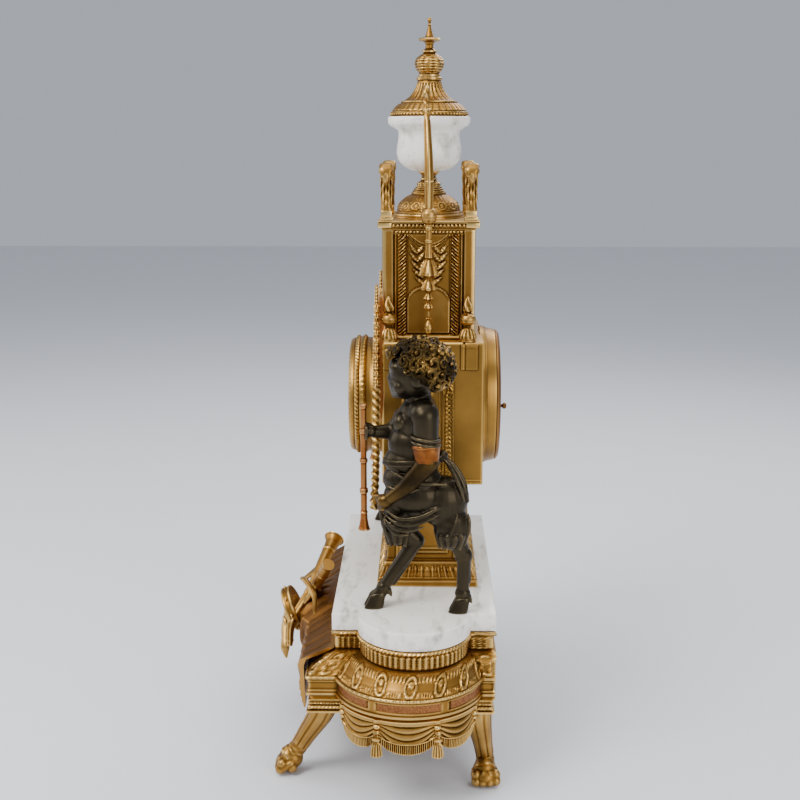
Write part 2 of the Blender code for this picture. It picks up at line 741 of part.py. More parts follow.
def case_front():
    """Front half of the case: a box open at the back, bored for the drum."""
    half = CASE_WIDTH / 2
    outer = box((-half, CASE_FRONT_Y, CASE_Z), (half, CASE_SPLIT_Y, CASE_TOP), 1.5 * MM)
    inner = box(
        (-half + SHELL_WALL, CASE_FRONT_Y + SHELL_WALL, CASE_Z + SHELL_WALL),
        (half - SHELL_WALL, CASE_SPLIT_Y + 1 * MM, CASE_TOP - SHELL_WALL),
    )
    bore = drum_bore(DRUM_RADIUS + GAP, CASE_FRONT_Y - 1 * MM, CASE_FRONT_Y + 2 * SHELL_WALL)
    hole = rod_hole(CASE_Z - 1 * MM, CASE_Z + 2 * SHELL_WALL)
    add_part("case_front", cut(outer, inner, bore, hole), "brass")


def case_back():
    """Back plate of the case, with the tapering ring that carries the rear cover."""
    half = CASE_WIDTH / 2
    start = CASE_SPLIT_Y + GAP
    plate = box((-half, start, CASE_Z), (half, CASE_BACK_Y, CASE_TOP), 1.5 * MM)
    ring = cylinder(
        (0, CASE_BACK_Y - 2 * MM, AXIS_Z), (0, RING_BACK_Y, AXIS_Z), REAR_RING_RADIUS, 32, COVER_RADIUS
    )
    body = union(plate, ring)
    bore = drum_bore(DRUM_RADIUS + GAP, start - 1 * MM, RING_BACK_Y + 1 * MM)
    x = -(COVER_RADIUS + HINGE_RADIUS)
    y = COVER_HINGE_Y
    lugs = []
    for side in (-1, 1):
        low = AXIS_Z + side * 7 * MM - 2 * MM
        high = low + 4 * MM
        lugs.append(cylinder((x, y, low), (x, y, high), HINGE_RADIUS, 10))
        lugs.append(box((x - 1 * MM, y - 5 * MM, low), (x + 1 * MM, y, high)))
        lugs.append(box((x - 0.9 * MM, y - 4.9 * MM, low), (x + 4 * MM, RING_BACK_Y - GAP, high)))
    pin = cylinder((x, y, AXIS_Z - 7 * MM), (x, y, AXIS_Z + 7 * MM), PIN_RADIUS, 8)
    add_part("case_back", cut(union(body, *lugs, pin), bore), "brass")


def tower_casting():
    """The upper tower: four walls with corner pilasters, and a web that the upper rod pulls on."""
    half_x, half_y = TOWER_WIDTH / 2, TOWER_DEPTH / 2
    wall_x, wall_y = half_x - 1.5 * MM, half_y - 1.5 * MM  # the walls lie a little behind the pilasters
    outer = box((-wall_x, TOWER_Y - wall_y, TOWER_Z), (wall_x, TOWER_Y + wall_y, TOWER_TOP))
    pilaster = 8 * MM
    posts = []
    for side in (-1, 1):
        for end in (-1, 1):
            x = side * (half_x - pilaster / 2)
            y = TOWER_Y + end * (half_y - pilaster / 2)
            r = pilaster / 2
            posts.append(box((x - r, y - r, TOWER_Z), (x + r, y + r, TOWER_TOP)))
    body = union(outer, *posts)
    inner_x, inner_y = wall_x - SHELL_WALL, wall_y - SHELL_WALL
    web_z = TOWER_Z + 10 * MM
    web_top = web_z + WEB_THICKNESS
    above = box((-inner_x, TOWER_Y - inner_y, web_top), (inner_x, TOWER_Y + inner_y, TOWER_TOP + 1 * MM))
    below = box((-inner_x, TOWER_Y - inner_y, TOWER_Z - 1 * MM), (inner_x, TOWER_Y + inner_y, web_z))
    hole = rod_hole(web_z - 1 * MM, web_z + 2 * WEB_THICKNESS)
    add_part("tower_casting", cut(body, above, below, hole), "brass")


def cornice_plate():
    half_x = TOWER_WIDTH / 2 + CORNICE_OVERHANG
    half_y = TOWER_DEPTH / 2 + CORNICE_OVERHANG
    plate = box((-half_x, TOWER_Y - half_y, CORNICE_Z), (half_x, TOWER_Y + half_y, CORNICE_TOP), 1.2 * MM)
    hole = rod_hole(CORNICE_Z - 1 * MM, CORNICE_TOP + 1 * MM)
    add_part("cornice_plate", cut(plate, hole), "brass")


def corner_scrolls():
    """Four upright scrolls on the cornice corners. Each rises, leans in a little and curls outwards."""
    base = CORNICE_TOP + GAP
    x = TOWER_WIDTH / 2 - 3 * MM
    thick = 3.4 * MM
    path = smooth_path(
        [
            (x, 0, base + 1 * MM),
            (x - 1 * MM, 0, base + 0.35 * SCROLL_HEIGHT),
            (x - 3 * MM, 0, base + 0.68 * SCROLL_HEIGHT),
            (x - 1 * MM, 0, base + 0.90 * SCROLL_HEIGHT),
            (x + 4.5 * MM, 0, base + 0.91 * SCROLL_HEIGHT),
            (x + 7.5 * MM, 0, base + 0.72 * SCROLL_HEIGHT),
        ],
        3,
    )
    outline = []
    for index, point in enumerate(path):
        ahead = path[min(index + 1, len(path) - 1)] - path[max(index - 1, 0)]
        side = Vector((ahead.z, 0, -ahead.x)).normalized() * thick
        outline.append((point - side, point + side))
    loop = [(p.x, p.z) for p, _ in outline] + [(p.x, p.z) for _, p in reversed(outline)]
    stand = 7 * MM
    mesh = moved(flat(loop, SCROLL_WIDTH), Matrix.Rotation(math.radians(90), 4, "X"))
    block = box((x - 5 * MM, -SCROLL_WIDTH / 2, base), (x + 5 * MM, SCROLL_WIDTH / 2, base + stand))
    body = union(block, mesh)
    floor = box((x - 0.03, -0.03, base - 0.03), (x + 0.03, 0.03, base))
    body = cut(body, floor)
    offset = TOWER_DEPTH / 2 - SCROLL_WIDTH / 2 + 1.5 * MM
    for name, y in (("front", TOWER_Y - offset), ("rear", TOWER_Y + offset)):
        placed = body.copy()
        placed.transform(Matrix.Translation((0, y, 0)))
        add_pair("corner_scroll_" + name, placed, "brass")
    bpy.data.meshes.remove(body)


def shoulder_urns():
    """Four small flaming urns on the case's shoulders, beside the tower."""
    h, r = SHOULDER_URN_HEIGHT, SHOULDER_URN_RADIUS
    profile = [
        (0.0, h),
        (0.60 * r, 0.76 * h),
        (0.30 * r, 0.58 * h),
        (r, 0.50 * h),
        (r, 0.42 * h),
        (0.45 * r, 0.28 * h),
        (0.95 * r, 0.06 * h),
        (0.95 * r, 0.0),
        (0.0, 0.0),
    ]
    x = (TOWER_WIDTH + CASE_WIDTH) / 4
    offset = TOWER_DEPTH / 2 - SHOULDER_URN_RADIUS
    for name, y in (("front", TOWER_Y - offset), ("rear", TOWER_Y + offset)):
        add_pair("shoulder_urn_" + name, turned(profile, (x, y, CASE_TOP + GAP), steps=12), "brass")


# ---------------------------------------------------------------- dome and urn
def turned_bored(profile, z, material, name, bore=ROD_RADIUS + GAP, steps=20):
    """A turned piece with a straight hole for the rod down its middle."""
    top, bottom = profile[0][1], profile[-1][1]
    loop = [(bore, top), *profile, (bore, bottom), (bore, top)]
    add_part(name, turned(loop, (0, TOWER_Y, z), steps=steps), material)


def dome_and_urn():
    h, r = DOME_HEIGHT, DOME_RADIUS
    wall = DOME_WALL
    outside = [(11 * MM, h), (11 * MM, 0.90 * h)]
    for step in range(1, 5):
        angle = math.radians(18 + 18 * step)
        outside.append((r * math.sin(angle) * 0.97, 0.92 * h * math.cos(angle)))
    outside += [(r, 0.06 * h), (r, 0.0)]
    inside = [(r - wall, 0.0), (r - wall, 0.10 * h), (0.72 * r, 0.5 * h), (0.4 * r, h - 2 * wall)]
    bore = ROD_RADIUS + GAP
    loop = [(bore, h), *outside, *inside, (bore, h - 2 * wall), (bore, h)]
    add_part("dome_cap", turned(loop, (0, TOWER_Y, DOME_Z), steps=20), "brass")

    h, r = URN_FOOT_HEIGHT, URN_FOOT_RADIUS
    foot_profile = [(r * 0.95, h), (r * 0.68, h * 0.72), (r * 0.72, h * 0.45), (r, h * 0.25), (r, 0.0)]
    turned_bored(foot_profile, URN_FOOT_Z, "brass", "urn_foot", steps=12)

    h, lip, belly = URN_BOWL_HEIGHT, URN_LIP_RADIUS, URN_BELLY_RADIUS
    bowl_profile = [
        (lip - 0.8 * MM, h),
        (lip, h * 0.96),
        (lip, h * 0.89),
        (lip - 2.2 * MM, h * 0.83),
        (lip - 5.2 * MM, h * 0.80),
        (lip - 6.2 * MM, h * 0.74),
        (belly - 2.8 * MM, h * 0.69),
        (belly - 1.2 * MM, h * 0.54),
        (belly, h * 0.35),
        (belly - 2.0 * MM, h * 0.18),
        (belly - 6.0 * MM, h * 0.06),
        (belly * 0.52, 0.0),
    ]
    turned_bored(bowl_profile, URN_BOWL_Z, "marble", "urn_bowl")

    h = URN_LID_HEIGHT
    lid_profile = [
        (9.2 * MM, h),
        (9.8 * MM, h * 0.85),
        (11.5 * MM, h * 0.66),
        (16.0 * MM, h * 0.46),
        (22.0 * MM, h * 0.34),
        (28.5 * MM, h * 0.24),
        (lip - 1.2 * MM, h * 0.10),
        (lip - 1.0 * MM, 0.0),
    ]
    turned_bored(lid_profile, URN_LID_Z, "brass", "urn_lid")

    h = FINIAL_HEIGHT
    finial_profile = [
        (0.0, h),
        (2.0 * MM, h - 2 * MM),
        (0.9 * MM, h - 4.5 * MM),
        (2.2 * MM, h - 7 * MM),
        (3.4 * MM, h - 14 * MM),
        (8.8 * MM, h - 17 * MM),
        (4.0 * MM, h - 21 * MM),
        (3.2 * MM, h - 24 * MM),
        (5.6 * MM, h - 27 * MM),
        (9.0 * MM, h - 30 * MM),
        (11.3 * MM, h - 34 * MM),
        (8.8 * MM, h - 39 * MM),
        (8.8 * MM, 0.0),
        (ROD_RADIUS + GAP, 0.0),
        (ROD_RADIUS + GAP, 12 * MM),
        (0.0, 13 * MM),
    ]
    add_part("urn_finial", turned(finial_profile, (0, TOWER_Y, FINIAL_Z), steps=12), "brass")


def rods():
    """The upper rod holds tower, dome and urn together, the lower one case, pedestal, slab and plinth."""
    head_z = TOWER_Z + 10 * MM - GAP
    head = cylinder((0, TOWER_Y, head_z - 5 * MM), (0, TOWER_Y, head_z), NUT_RADIUS, 6)
    shank = cylinder((0, TOWER_Y, head_z - 1 * MM), (0, TOWER_Y, FINIAL_Z + 11 * MM), ROD_RADIUS, 12)
    add_part("upper_tie_rod", union(head, shank), "steel")
    head_z = CASE_Z + SHELL_WALL + GAP
    nut_top = PLINTH_TOP - PLINTH_WALL - GAP
    head = cylinder((0, TOWER_Y, head_z), (0, TOWER_Y, head_z + 4 * MM), NUT_RADIUS, 6)
    shank = cylinder((0, TOWER_Y, nut_top - 12 * MM), (0, TOWER_Y, head_z + 1 * MM), ROD_RADIUS, 12)
    add_part("lower_tie_rod", union(head, shank), "steel")
    nut = cylinder((0, TOWER_Y, nut_top - 5 * MM), (0, TOWER_Y, nut_top), NUT_RADIUS * 1.2, 6)
    hole = cylinder((0, TOWER_Y, nut_top - 8 * MM), (0, TOWER_Y, nut_top + 2 * MM), ROD_RADIUS + GAP, 16)
    add_part("lower_tie_nut", cut(nut, hole), "steel")


def urn_handles():
    """Swan-neck handles that stand beside the urn and end in a ball on the cornice's edge."""
    x = HANDLE_X
    ball_z = CORNICE_TOP + 4 * MM
    path = smooth_path(
        [
            (x, TOWER_Y, ball_z),
            (x + 4 * MM, TOWER_Y, ball_z + 22 * MM),
            (x + 3 * MM, TOWER_Y - 1 * MM, ball_z + 46 * MM),
            (x - 6 * MM, TOWER_Y - 2 * MM, ball_z + 72 * MM),
            (x - 10 * MM, TOWER_Y - 2.5 * MM, URN_LID_Z + 12 * MM),
            (x - 6 * MM, TOWER_Y - 2.5 * MM, URN_LID_Z + 20 * MM),
            (x + 1 * MM, TOWER_Y - 2.5 * MM, URN_LID_Z + 17 * MM),
        ],
        3,
    )
    radii = blend_values([HANDLE_RADIUS, HANDLE_RADIUS * 1.1, HANDLE_RADIUS, HANDLE_RADIUS], len(path))
    bar = tube(path, radii, 0)
    ball = ellipsoid((x, TOWER_Y, ball_z), (DROP_RADIUS, DROP_RADIUS, DROP_RADIUS * 1.15), None, 12, 8)
    half, lug_z = 2.5 * MM, CORNICE_TOP + GAP
    lug = box((x - 13 * MM, TOWER_Y - half, lug_z), (x, TOWER_Y + half, CORNICE_TOP + 4 * MM))
    add_pair("urn_handle", union(ball, bar, lug), "brass")


def bellflower_drops():
    """A pendant, a flower and a chain of bellflowers cast in one, hanging under each handle's ball."""
    x = HANDLE_X
    top = CORNICE_TOP + 4 * MM - DROP_RADIUS * 1.15 - GAP
    r = DROP_RADIUS
    profile = [(0.0, 0.0), (0.45 * r, 0.0)]
    bells = [(13, 0.50), (25, 0.48), (38, 0.95), (50, 0.75), (62, 0.55), (72, 0.42), (84, 0.58)]
    last = 0.0
    for depth, width in bells:
        low = -depth * MM
        profile.append((width * r, low + 2 * MM))
        profile.append((0.3 * r, low))
        last = low
    profile.append((0.0, last))
    add_pair("bellflower_drop", turned(profile, (x, TOWER_Y, top), steps=8), "brass")


# ---------------------------------------------------------------- fauns, garlands and pipes
def faun():
    """A goat-legged boy in a short tunic, built of limbs and balls joined to one body. Faces -Y."""
    scale = FAUN_UNIT
    ground = MARBLE_TOP + GAP

    def at(x, y, z):
        return (FAUN_X + x * scale, y * scale, ground + z * scale)

    def long(value):
        return value * scale

    pieces = [
        ellipsoid(at(0, 2, 104), (long(21), long(25), long(20))),
        ellipsoid(at(0, -2, 86), (long(22), long(27), long(19))),
        ellipsoid(at(0, 15, 74), (long(19), long(24), long(24))),
        ellipsoid(at(0, 0, 135), (long(20), long(19), long(21))),
        limb(at(0, -2, 150), at(0, -3, 166), long(9), long(8)),
        ellipsoid(at(0, -3, 180), (long(19), long(20), long(19))),
        ellipsoid(at(0, 4, 190), (long(22), long(24), long(17))),
        limb(at(16, 6, 143), at(18, 10, 112), long(8.5), long(7.5)),
        limb(at(18, 10, 112), at(3, -22, 84), long(7.5), long(5.2)),
        limb(at(-16, -4, 143), at(-16, -16, 122), long(8.5), long(7)),
        limb(at(-16, -16, 122), at(-10, -30, 134), long(6.5), long(5)),
        limb(at(-7, -4, 70), at(-5, -14, 46), long(14), long(9)),
        limb(at(-5, -14, 46), at(-4, 3, 42), long(8), long(6)),
        limb(at(-4, 3, 42), at(-4, -24, 12), long(5.5), long(4.5)),
        limb(at(-4, -24, 12), at(-4, -27, 6), long(6.5), long(8)),
        limb(at(7, 22, 66), at(5, 31, 46), long(16), long(8)),
        limb(at(5, 31, 46), at(5, 34, 10), long(6.5), long(5.5)),
        limb(at(5, 34, 10), at(5, 34, 6), long(7), long(8)),
    ]
    body = union(*pieces)
    floor = box((FAUN_X - 0.08, -0.1, ground - 0.05), (FAUN_X + 0.08, 0.1, ground))
    return cut(body, floor)


def garland():
    """A leafy arm that lies on the case's front corner and runs down as a rope to the faun's hand."""
    y = CASE_FRONT_Y - GAP - 4 * MM
    hand_y = -27.2 * FAUN_UNIT - 3.6 * MM
    hand_z = MARBLE_TOP + 84 * FAUN_UNIT
    edge = CASE_WIDTH / 2
    path = smooth_path(
        [
            (edge - 9 * MM, y, CASE_TOP + 48 * MM),
            (edge - 11 * MM, y, CASE_TOP + 26 * MM),
            (edge - 5 * MM, y, CASE_TOP + 2 * MM),
            (edge - 2 * MM, y, CASE_TOP - 26 * MM),
            (edge + 4 * MM, y, CASE_TOP - 54 * MM),
            (edge + 16 * MM, y, CASE_TOP - 80 * MM),
            (FAUN_X - 17 * MM, (y + hand_y) / 2, hand_z + 10 * MM),
            (FAUN_X - 2 * MM, hand_y, hand_z - 7 * MM),
        ],
        3,
    )
    widths = [2 * MM, 3.2 * MM, 3.4 * MM, 4.0 * MM, 3.8 * MM, 3.2 * MM, 3.0 * MM, 3.0 * MM]
    return tube(path, blend_values(widths, len(path)), 1)


def held_pipe():
    """The jointed pipe in the faun's raised hand."""
    x = FAUN_X - 10 * FAUN_UNIT
    y = -35 * FAUN_UNIT - 3.5 * MM
    top = MARBLE_TOP + 158 * FAUN_UNIT
    profile = [(0.0, 0.0), (2.4 * MM, 0.0)]
    for step in range(1, 4):
        z = -step * 28 * MM
        profile += [(2.2 * MM, z + 6 * MM), (3.2 * MM, z + 4 * MM), (3.2 * MM, z + 1 * MM), (2.2 * MM, z)]
    profile += [(3.4 * MM, -96 * MM), (0.0, -98 * MM)]
    return turned(profile, (x, y, top), steps=8)


# ---------------------------------------------------------------- drum, doors and dial
def movement_ring():
    """The drum: a tube right through the case, with a lug at the left for the bezel's hinge pin."""
    outer = drum_bore(DRUM_RADIUS, DRUM_FRONT, DRUM_BACK)
    inner = drum_bore(DRUM_RADIUS - DRUM_WALL, DRUM_FRONT - 1 * MM, DRUM_BACK + 1 * MM)
    lug_x = -(DRUM_RADIUS + HINGE_RADIUS)
    lugs = []
    for side in (-1, 1):
        low = AXIS_Z + side * 7 * MM - 2 * MM
        high = low + 4 * MM
        lugs.append(cylinder((lug_x, HINGE_Y, low), (lug_x, HINGE_Y, high), HINGE_RADIUS, 10))
        lugs.append(box((lug_x - 1 * MM, HINGE_Y, low), (lug_x + 1 * MM, HINGE_Y + 5 * MM, high)))
        root = DRUM_FRONT + GAP
        lugs.append(box((lug_x - 0.9 * MM, root, low), (2 * MM - DRUM_RADIUS, HINGE_Y + 4.9 * MM, high)))
    tube_mesh = cut(union(outer, *lugs), inner)
    low, high = AXIS_Z - 12 * MM, AXIS_Z + 12 * MM
    pin = cylinder((lug_x, HINGE_Y, low), (lug_x, HINGE_Y, high), PIN_RADIUS + RUNNING, 8)
    add_part("movement_ring", cut(tube_mesh, pin), "brass")


def bezel():
    """The glazed front door: a rounded ring with a hinge knuckle on the left."""
    d = BEZEL_DEPTH
    r = DRUM_RADIUS
    o = BEZEL_OPENING
    profile = [
        (o, d),
        (o + 1 * MM, d + 0.3 * MM),
        (r - 3 * MM, d - 1.5 * MM),
        (r - 0.5 * MM, d - 4 * MM),
        (r, d - 7 * MM),
        (r, 0.0),
        (o + 1.5 * MM, 0.0),
        (o + 1.5 * MM, d - 5 * MM),
        (o, d - 5 * MM),
        (o, d),
    ]
    ring = turned(profile, (0, DRUM_FRONT - GAP, AXIS_Z), axis="-Y", steps=32)
    x = -(DRUM_RADIUS + HINGE_RADIUS)
    low, high = AXIS_Z - 5 * MM + GAP, AXIS_Z + 5 * MM - GAP
    barrel = cylinder((x, HINGE_Y, low), (x, HINGE_Y, high), HINGE_RADIUS, 10)
    arm = box((x, HINGE_Y - 1.4 * MM, low), (-DRUM_RADIUS + 2.5 * MM, HINGE_Y + 1.2 * MM, high))
    body = union(ring, arm, barrel)
    pin = cylinder((x, HINGE_Y, AXIS_Z - 12 * MM), (x, HINGE_Y, AXIS_Z + 12 * MM), PIN_RADIUS + RUNNING, 8)
    clear = drum_bore(o + 1.4 * MM, DRUM_FRONT - 6 * MM, DRUM_FRONT + 5 * MM)
    add_part("bezel", cut(body, pin, clear), "brass")
    whole = cylinder((x, HINGE_Y, AXIS_Z - 10 * MM), (x, HINGE_Y, AXIS_Z + 10 * MM), PIN_RADIUS, 8)
    add_part("bezel_hinge_pin", whole, "steel")


def dial_glass():
    """A domed glass held in the bezel's rebate."""
    o = BEZEL_OPENING + 1.5 * MM - GAP
    seat = BEZEL_DEPTH - 5 * MM - GAP
    t = GLASS_THICKNESS
    inner_o = BEZEL_OPENING - GAP
    steps = 4
    outside = []
    inside = []
    for step in range(steps + 1):
        share = step / steps
        outside.append((inner_o * share, seat + GLASS_BULGE * (1 - share**2)))
        inside.append(((inner_o - t) * share, seat - t + GLASS_BULGE * (1 - share**2)))
    loop = [*outside, (inner_o, seat), (o, seat), (o, seat - t), *reversed(inside)]
    add_part("dial_glass", turned(loop, (0, DRUM_FRONT - GAP, AXIS_Z), axis="-Y", steps=20), "glass")


def circle(radius, centre=(0.0, 0.0), sides=24):
    angles = [2 * math.pi * step / sides for step in range(sides)]
    return [(centre[0] + radius * math.cos(a), centre[1] + radius * math.sin(a)) for a in angles]


def barrel_centre(side):
    """Where a mainspring barrel's arbor stands, relative to the clock's axis, as (x, z)."""
    return (side * BARREL_DISTANCE * math.cos(BARREL_ANGLE), BARREL_DISTANCE * math.sin(BARREL_ANGLE))


def dial_plate():
    radius = DRUM_RADIUS - DRUM_WALL - GAP
    holes = [circle(3.2 * MM, sides=16)]
    for side in (-1, 1):
        holes.append(circle(WINDING_RADIUS + 1 * MM, barrel_centre(side), 16))
    mesh = flat(circle(radius, sides=32), DIAL_THICKNESS, holes)
    y = DRUM_FRONT + 1 * MM + DIAL_THICKNESS / 2
    add_part("dial_plate", facing_front(mesh, 0, y, AXIS_Z), "enamel")


def hand(length, width, hub, bore, thickness, y, turn, name):
    """A pierced-tip hand, laid flat in front of the dial and turned clockwise by turn degrees."""
    outline = []
    for angle in range(-60, 241, 30):
        outline.append((hub * math.cos(math.radians(angle)), hub * math.sin(math.radians(angle))))
    tail = [(0.35, hub * 1.1), (0.3, length * 0.55), (1.0, length * 0.72), (0.3, length * 0.85)]
    tail = [(-width * share, z) for share, z in tail]
    left = outline[6:7] + tail + [(0, length)]
    right = [(-x, z) for x, z in reversed(tail)]
    lower = [(hub * math.cos(math.radians(a)), hub * math.sin(math.radians(a))) for a in range(-225, 46, 30)]
    loop = left[1:] + right + list(reversed(lower))
    mesh = flat(loop, thickness, [circle(bore, sides=16)])
    mesh.transform(Matrix.Rotation(math.radians(-turn), 4, "Z"))
    add_part(name, facing_front(mesh, 0, y, AXIS_Z), "black_steel")


def gear_outline(teeth, module, phase=0.0):
    """A toothed outline with short, slim teeth, so that meshed gears keep clear of each other."""
    pitch = teeth * module / 2
    tip, root = pitch + 0.8 * module, pitch - 1.1 * module
    loop = []
    for tooth in range(teeth):
        middle = phase + 2 * math.pi * tooth / teeth
        for share, radius in ((-0.24, root), (0.0, tip), (0.24, root)):
            angle = middle + share * 2 * math.pi / teeth
            loop.append((radius * math.cos(angle), radius * math.sin(angle)))
    return loop


def gear(teeth, module, y_front, thickness, centre, phase=0.0, bore=None):
    holes = [circle(bore, sides=16)] if bore else []
    mesh = flat(gear_outline(teeth, module, phase), thickness, holes)
    return facing_front(mesh, centre[0], y_front + thickness / 2, AXIS_Z + centre[1])


def meshed_phase(first_teeth, first_phase, second_teeth, direction):
    """The phase that puts a gap of the second gear round a tooth of the first, at that direction."""
    share = (first_phase - direction) / (2 * math.pi / first_teeth)
    return direction + math.pi - (share + 0.5) * 2 * math.pi / second_teeth


def arbor(centre, y_front, y_back, radius, sides=8):
    start = (centre[0], y_front, AXIS_Z + centre[1])
    return cylinder(start, (centre[0], y_back, AXIS_Z + centre[1]), radius, sides)


def plates():
    """The two movement plates. The back one carries the pillars and the bell post."""
    centres = [(0.0, 0.0), barrel_centre(1), barrel_centre(-1), THIRD_CENTRE]
    radii = [ARBOR_RADIUS, WINDING_RADIUS, WINDING_RADIUS, ARBOR_RADIUS]
    front_holes = [circle(r + RUNNING + 0.05 * MM, c, 12) for c, r in zip(centres, radii)]
    turns = [math.radians(degrees) for degrees in (35, 145, 215, 325)]
    pillar_places = [(PILLAR_REACH * math.cos(turn), PILLAR_REACH * math.sin(turn)) for turn in turns]
    for place in pillar_places:
        front_holes.append(circle(1.5 * MM + RUNNING, place, 12))
    mesh = flat(circle(DRUM_RADIUS - DRUM_WALL - GAP, sides=32), PLATE_THICKNESS, front_holes)
    front = facing_front(mesh, 0, FRONT_PLATE_Y + PLATE_THICKNESS / 2, AXIS_Z)
    stud = arbor(MINUTE_CENTRE, FRONT_PLATE_Y - 6.6 * MM, FRONT_PLATE_Y + 0.5 * MM, 0.9 * MM)
    add_part("front_plate", union(front, stud), "brass")

    back_holes = [circle(ARBOR_RADIUS + RUNNING + 0.05 * MM, c, 12) for c in centres[1:]]
    back_holes.append(circle(ARBOR_RADIUS + RUNNING + 0.05 * MM, BALANCE_CENTRE, 12))
    back_holes.append(circle(ARBOR_RADIUS + RUNNING + 0.05 * MM, HAMMER_CENTRE, 12))
    mesh = flat(circle(PLATE_RADIUS, sides=32), PLATE_THICKNESS, back_holes)
    back = facing_front(mesh, 0, BACK_PLATE_Y + PLATE_THICKNESS / 2, AXIS_Z)
    posts = []
    for place in pillar_places:
        posts.append(arbor(place, PLATE_BACK + GAP, BACK_PLATE_Y + 0.5 * MM, 2.4 * MM))
        posts.append(arbor(place, FRONT_PLATE_Y - 1.5 * MM, PLATE_BACK + 1 * MM, 1.5 * MM))
    bell_post = arbor((0.0, 0.0), BACK_PLATE_Y + 0.5 * MM, BACK_PLATE_Y + 26 * MM, 3 * MM, 16)
    bore = ARBOR_RADIUS + RUNNING + 0.05 * MM
    pivot = arbor((0.0, 0.0), BACK_PLATE_Y - 1 * MM, BACK_PLATE_Y + 2.3 * MM, bore, 24)
    add_part("back_plate", cut(union(back, *posts, bell_post), pivot), "brass")


def train():
    """Barrels, centre arbor, third wheel and the motion work behind the dial."""
    inner = PLATE_BACK
    outer = BACK_PLATE_Y
    right = barrel_centre(1)
    pinion_y = inner + 2 * MM
    pinion = gear(CENTRE_PINION_TEETH, BARREL_MODULE, pinion_y, 5 * MM, (0, 0))
    centre_wheel = gear(CENTRE_TEETH, TRAIN_MODULE, outer - 5 * MM, 1.5 * MM, (0, 0))
    cannon = gear(CANNON_TEETH, TRAIN_MODULE, FRONT_PLATE_Y - 3.4 * MM, 3 * MM, (0, 0))
    shaft = arbor((0, 0), MINUTE_HAND_Y - 1.5 * MM, outer + 1.8 * MM, ARBOR_RADIUS)
    add_part("centre_arbor", geared(shaft, pinion, centre_wheel, cannon), "brass")

    phase = meshed_phase(CENTRE_PINION_TEETH, 0.0, BARREL_TEETH, BARREL_ANGLE)
    for side, name, rim_y in ((1, "going_barrel", pinion_y + 1 * MM), (-1, "strike_barrel", inner + 14 * MM)):
        centre = barrel_centre(side)
        teeth = gear(BARREL_TEETH, BARREL_MODULE, rim_y, 2.5 * MM, centre, phase if side > 0 else 0.0)
        drum = arbor(centre, inner + 2 * MM, inner + 18 * MM, BARREL_MODULE * BARREL_TEETH / 2 - 2 * MM, 24)
        stem = arbor(centre, DRUM_FRONT - 1 * MM, FRONT_PLATE_Y - 1 * MM, 0.9 * WINDING_RADIUS, 4)
        neck = arbor(centre, FRONT_PLATE_Y - 2 * MM, inner + 3 * MM, WINDING_RADIUS, 12)
        tail = arbor(centre, inner + 10 * MM, outer + PLATE_THICKNESS - GAP, ARBOR_RADIUS)
        add_part(name, geared(drum, teeth, stem, neck, tail), "brass")

    phase = meshed_phase(CENTRE_TEETH, 0.0, THIRD_PINION_TEETH, THIRD_ANGLE)
    third_pinion = gear(THIRD_PINION_TEETH, TRAIN_MODULE, outer - 6.5 * MM, 4.5 * MM, THIRD_CENTRE, phase)
    third_gear = gear(THIRD_TEETH, TRAIN_MODULE * 0.8, outer - 12 * MM, 1.5 * MM, THIRD_CENTRE)
    shaft = arbor(THIRD_CENTRE, FRONT_PLATE_Y + GAP, outer + PLATE_THICKNESS - GAP, ARBOR_RADIUS)
    add_part("third_wheel", geared(shaft, third_pinion, third_gear), "brass")

    phase = meshed_phase(CANNON_TEETH, 0.0, MINUTE_TEETH, math.radians(90))
    bore = 0.9 * MM + RUNNING
    idler = gear(MINUTE_TEETH, TRAIN_MODULE, FRONT_PLATE_Y - 3.1 * MM, 2.4 * MM, MINUTE_CENTRE, phase, bore)
    small_y = FRONT_PLATE_Y - 6.4 * MM
    small = gear(MINUTE_PINION_TEETH, HOUR_MODULE, small_y, 3.6 * MM, MINUTE_CENTRE, 0.0, bore)
    add_part("minute_wheel", geared(idler, small), "brass")

    phase = meshed_phase(MINUTE_PINION_TEETH, 0.0, HOUR_TEETH, math.radians(-90))
    bore = ARBOR_RADIUS + RUNNING + 0.05 * MM
    wheel = gear(HOUR_TEETH, HOUR_MODULE, FRONT_PLATE_Y - 5.8 * MM, 1.8 * MM, (0, 0), phase, bore)
    pipe_out = arbor((0, 0), HOUR_HAND_Y - 1 * MM, FRONT_PLATE_Y - 5 * MM, 2.3 * MM, 20)
    pipe_in = arbor((0, 0), HOUR_HAND_Y - 3 * MM, FRONT_PLATE_Y - 3 * MM, bore, 16)
    add_part("hour_wheel", cut(union(pipe_out, wheel), pipe_in), "brass")


def hands():
    hand(DRUM_RADIUS - 22 * MM, 3.2 * MM, 4.2 * MM, 2.3 * MM + GAP, 0.8 * MM, HOUR_HAND_Y, 305, "hour_hand")
    hand(DRUM_RADIUS - 12 * MM, 2.6 * MM, 3.4 * MM, ARBOR_RADIUS + GAP, 0.8 * MM, MINUTE_HAND_Y, 60, "minute_hand")


